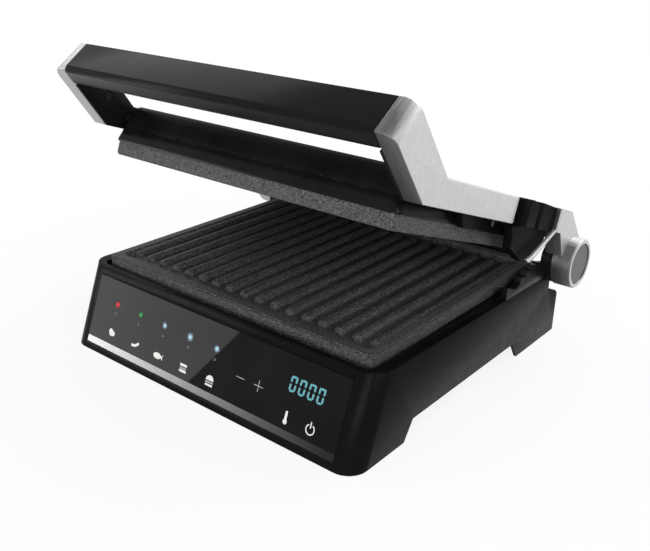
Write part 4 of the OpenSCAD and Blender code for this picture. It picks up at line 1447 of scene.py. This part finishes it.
@dataclass
class Studio:
    """Pale floor, soft lamps, plain surroundings and the camera."""

    panel_box: PanelBox
    lamps: tuple[Softbox, ...] = (
        Softbox("left_box", 181.5, 45.5, 1.65, (0.62, 0.76), 4.0),
        Softbox("right_box", -25.0, 22.0, 1.9, (1.2, 0.9), 18.0),
        Softbox("rear_box", 70.0, 40.0, 1.8, (1.0, 0.7), 14.0),
        Softbox("corner_box", -74.0, 6.0, 1.6, (0.8, 0.55), 8.5),
    )
    camera_place: Triple = (0.4706, -0.5744, 0.3820)
    right: Triple = (0.7728, 0.6344, 0.0164)
    up: Triple = (-0.2614, 0.2948, 0.9192)
    back: Triple = (0.5783, -0.7146, 0.3936)
    lens: float = 46.41
    sensor: float = 36.0
    floor_size: float = 6.0
    floor_tones: tuple[Colour, Colour] = ((0.84, 0.84, 0.84), (0.86, 0.86, 0.86))
    floor_cloud: float = 0.4
    shadow_near: float = 0.22
    shadow_far: float = 0.55
    near_white: float = 0.86
    ambient: float = 0.48

    def build(self) -> None:
        """Builds the whole studio."""
        self.floor()
        self.world()
        for lamp in self.lamps:
            lamp.build()
        self.panel_box.build(Vector(self.camera_place))
        self.camera()

    def floor(self) -> None:
        """Lays the pale floor, white but for the soft shadow round the grill."""
        graph = Graph("studio floor")
        graph.paint(graph.blend(graph.mottle(self.floor_cloud), *self.floor_tones))
        graph.set(Roughness=0.8, Specular_IOR_Level=0.1)
        mixed = graph.add("ShaderNodeMixShader")
        white = graph.add("ShaderNodeEmission")
        white.inputs["Strength"].default_value = 1.0
        distance = graph.add("ShaderNodeVectorMath", operation="LENGTH")
        graph.link(graph.place(), distance.inputs[0])
        share = graph.span(
            distance.outputs["Value"], self.shadow_near, self.shadow_far, self.near_white, 1.0
        )
        graph.link(graph.maths("MULTIPLY", bright_rays(graph.tree), share), mixed.inputs[0])
        graph.link(graph.shader.outputs["BSDF"], mixed.inputs[1])
        graph.link(white.outputs["Emission"], mixed.inputs[2])
        graph.link(mixed.outputs["Shader"], graph.output.inputs["Surface"])
        mesh = bmesh.new()
        half = self.floor_size / 2
        rim = box_outline((-half, -half), (half, half))
        mesh.faces.new([mesh.verts.new((x, y, 0.0)) for x, y in rim])
        finish_mesh("studio_floor", mesh, graph.material)

    def world(self) -> None:
        """Sets white surroundings that light the grill only gently."""
        world = bpy.data.worlds.new("studio")
        bpy.context.scene.world = world
        world.use_nodes = True
        tree = world.node_tree
        tree.nodes.clear()
        output = tree.nodes.new("ShaderNodeOutputWorld")
        sky = tree.nodes.new("ShaderNodeBackground")
        strength = tree.nodes.new("ShaderNodeMapRange")
        strength.inputs["To Min"].default_value = self.ambient
        strength.inputs["To Max"].default_value = 1.0
        tree.links.new(bright_rays(tree), strength.inputs["Value"])
        tree.links.new(strength.outputs["Result"], sky.inputs["Strength"])
        sky.inputs["Color"].default_value = (1.0, 1.0, 1.0, 1.0)
        tree.links.new(sky.outputs["Background"], output.inputs["Surface"])

    def camera(self) -> None:
        """Stands the camera where the photograph was taken."""
        data = bpy.data.cameras.new("camera")
        data.sensor_width = self.sensor
        data.lens = self.lens
        data.clip_start = 0.01
        camera = bpy.data.objects.new("camera", data)
        axes = Matrix((self.right, self.up, self.back)).transposed().to_4x4()
        camera.matrix_world = Matrix.Translation(self.camera_place) @ axes
        bpy.context.scene.collection.objects.link(camera)
        bpy.context.scene.camera = camera


def main() -> None:
    """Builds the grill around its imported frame, then the studio."""
    logging.basicConfig(level=logging.INFO, format="%(name)s: %(message)s")
    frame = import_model()
    bpy.context.scene.view_settings.view_transform = "Standard"
    edging = Edging(frame["nodes"])
    panel = ControlPanel()
    Base(edging).build()
    panel.build()
    ArmsAndHandle(edging).build()
    Lid(edging).build()
    Studio(PanelBox(panel)).build()
    LOG.info("boxes written")


if __name__ == "__main__":
    main()
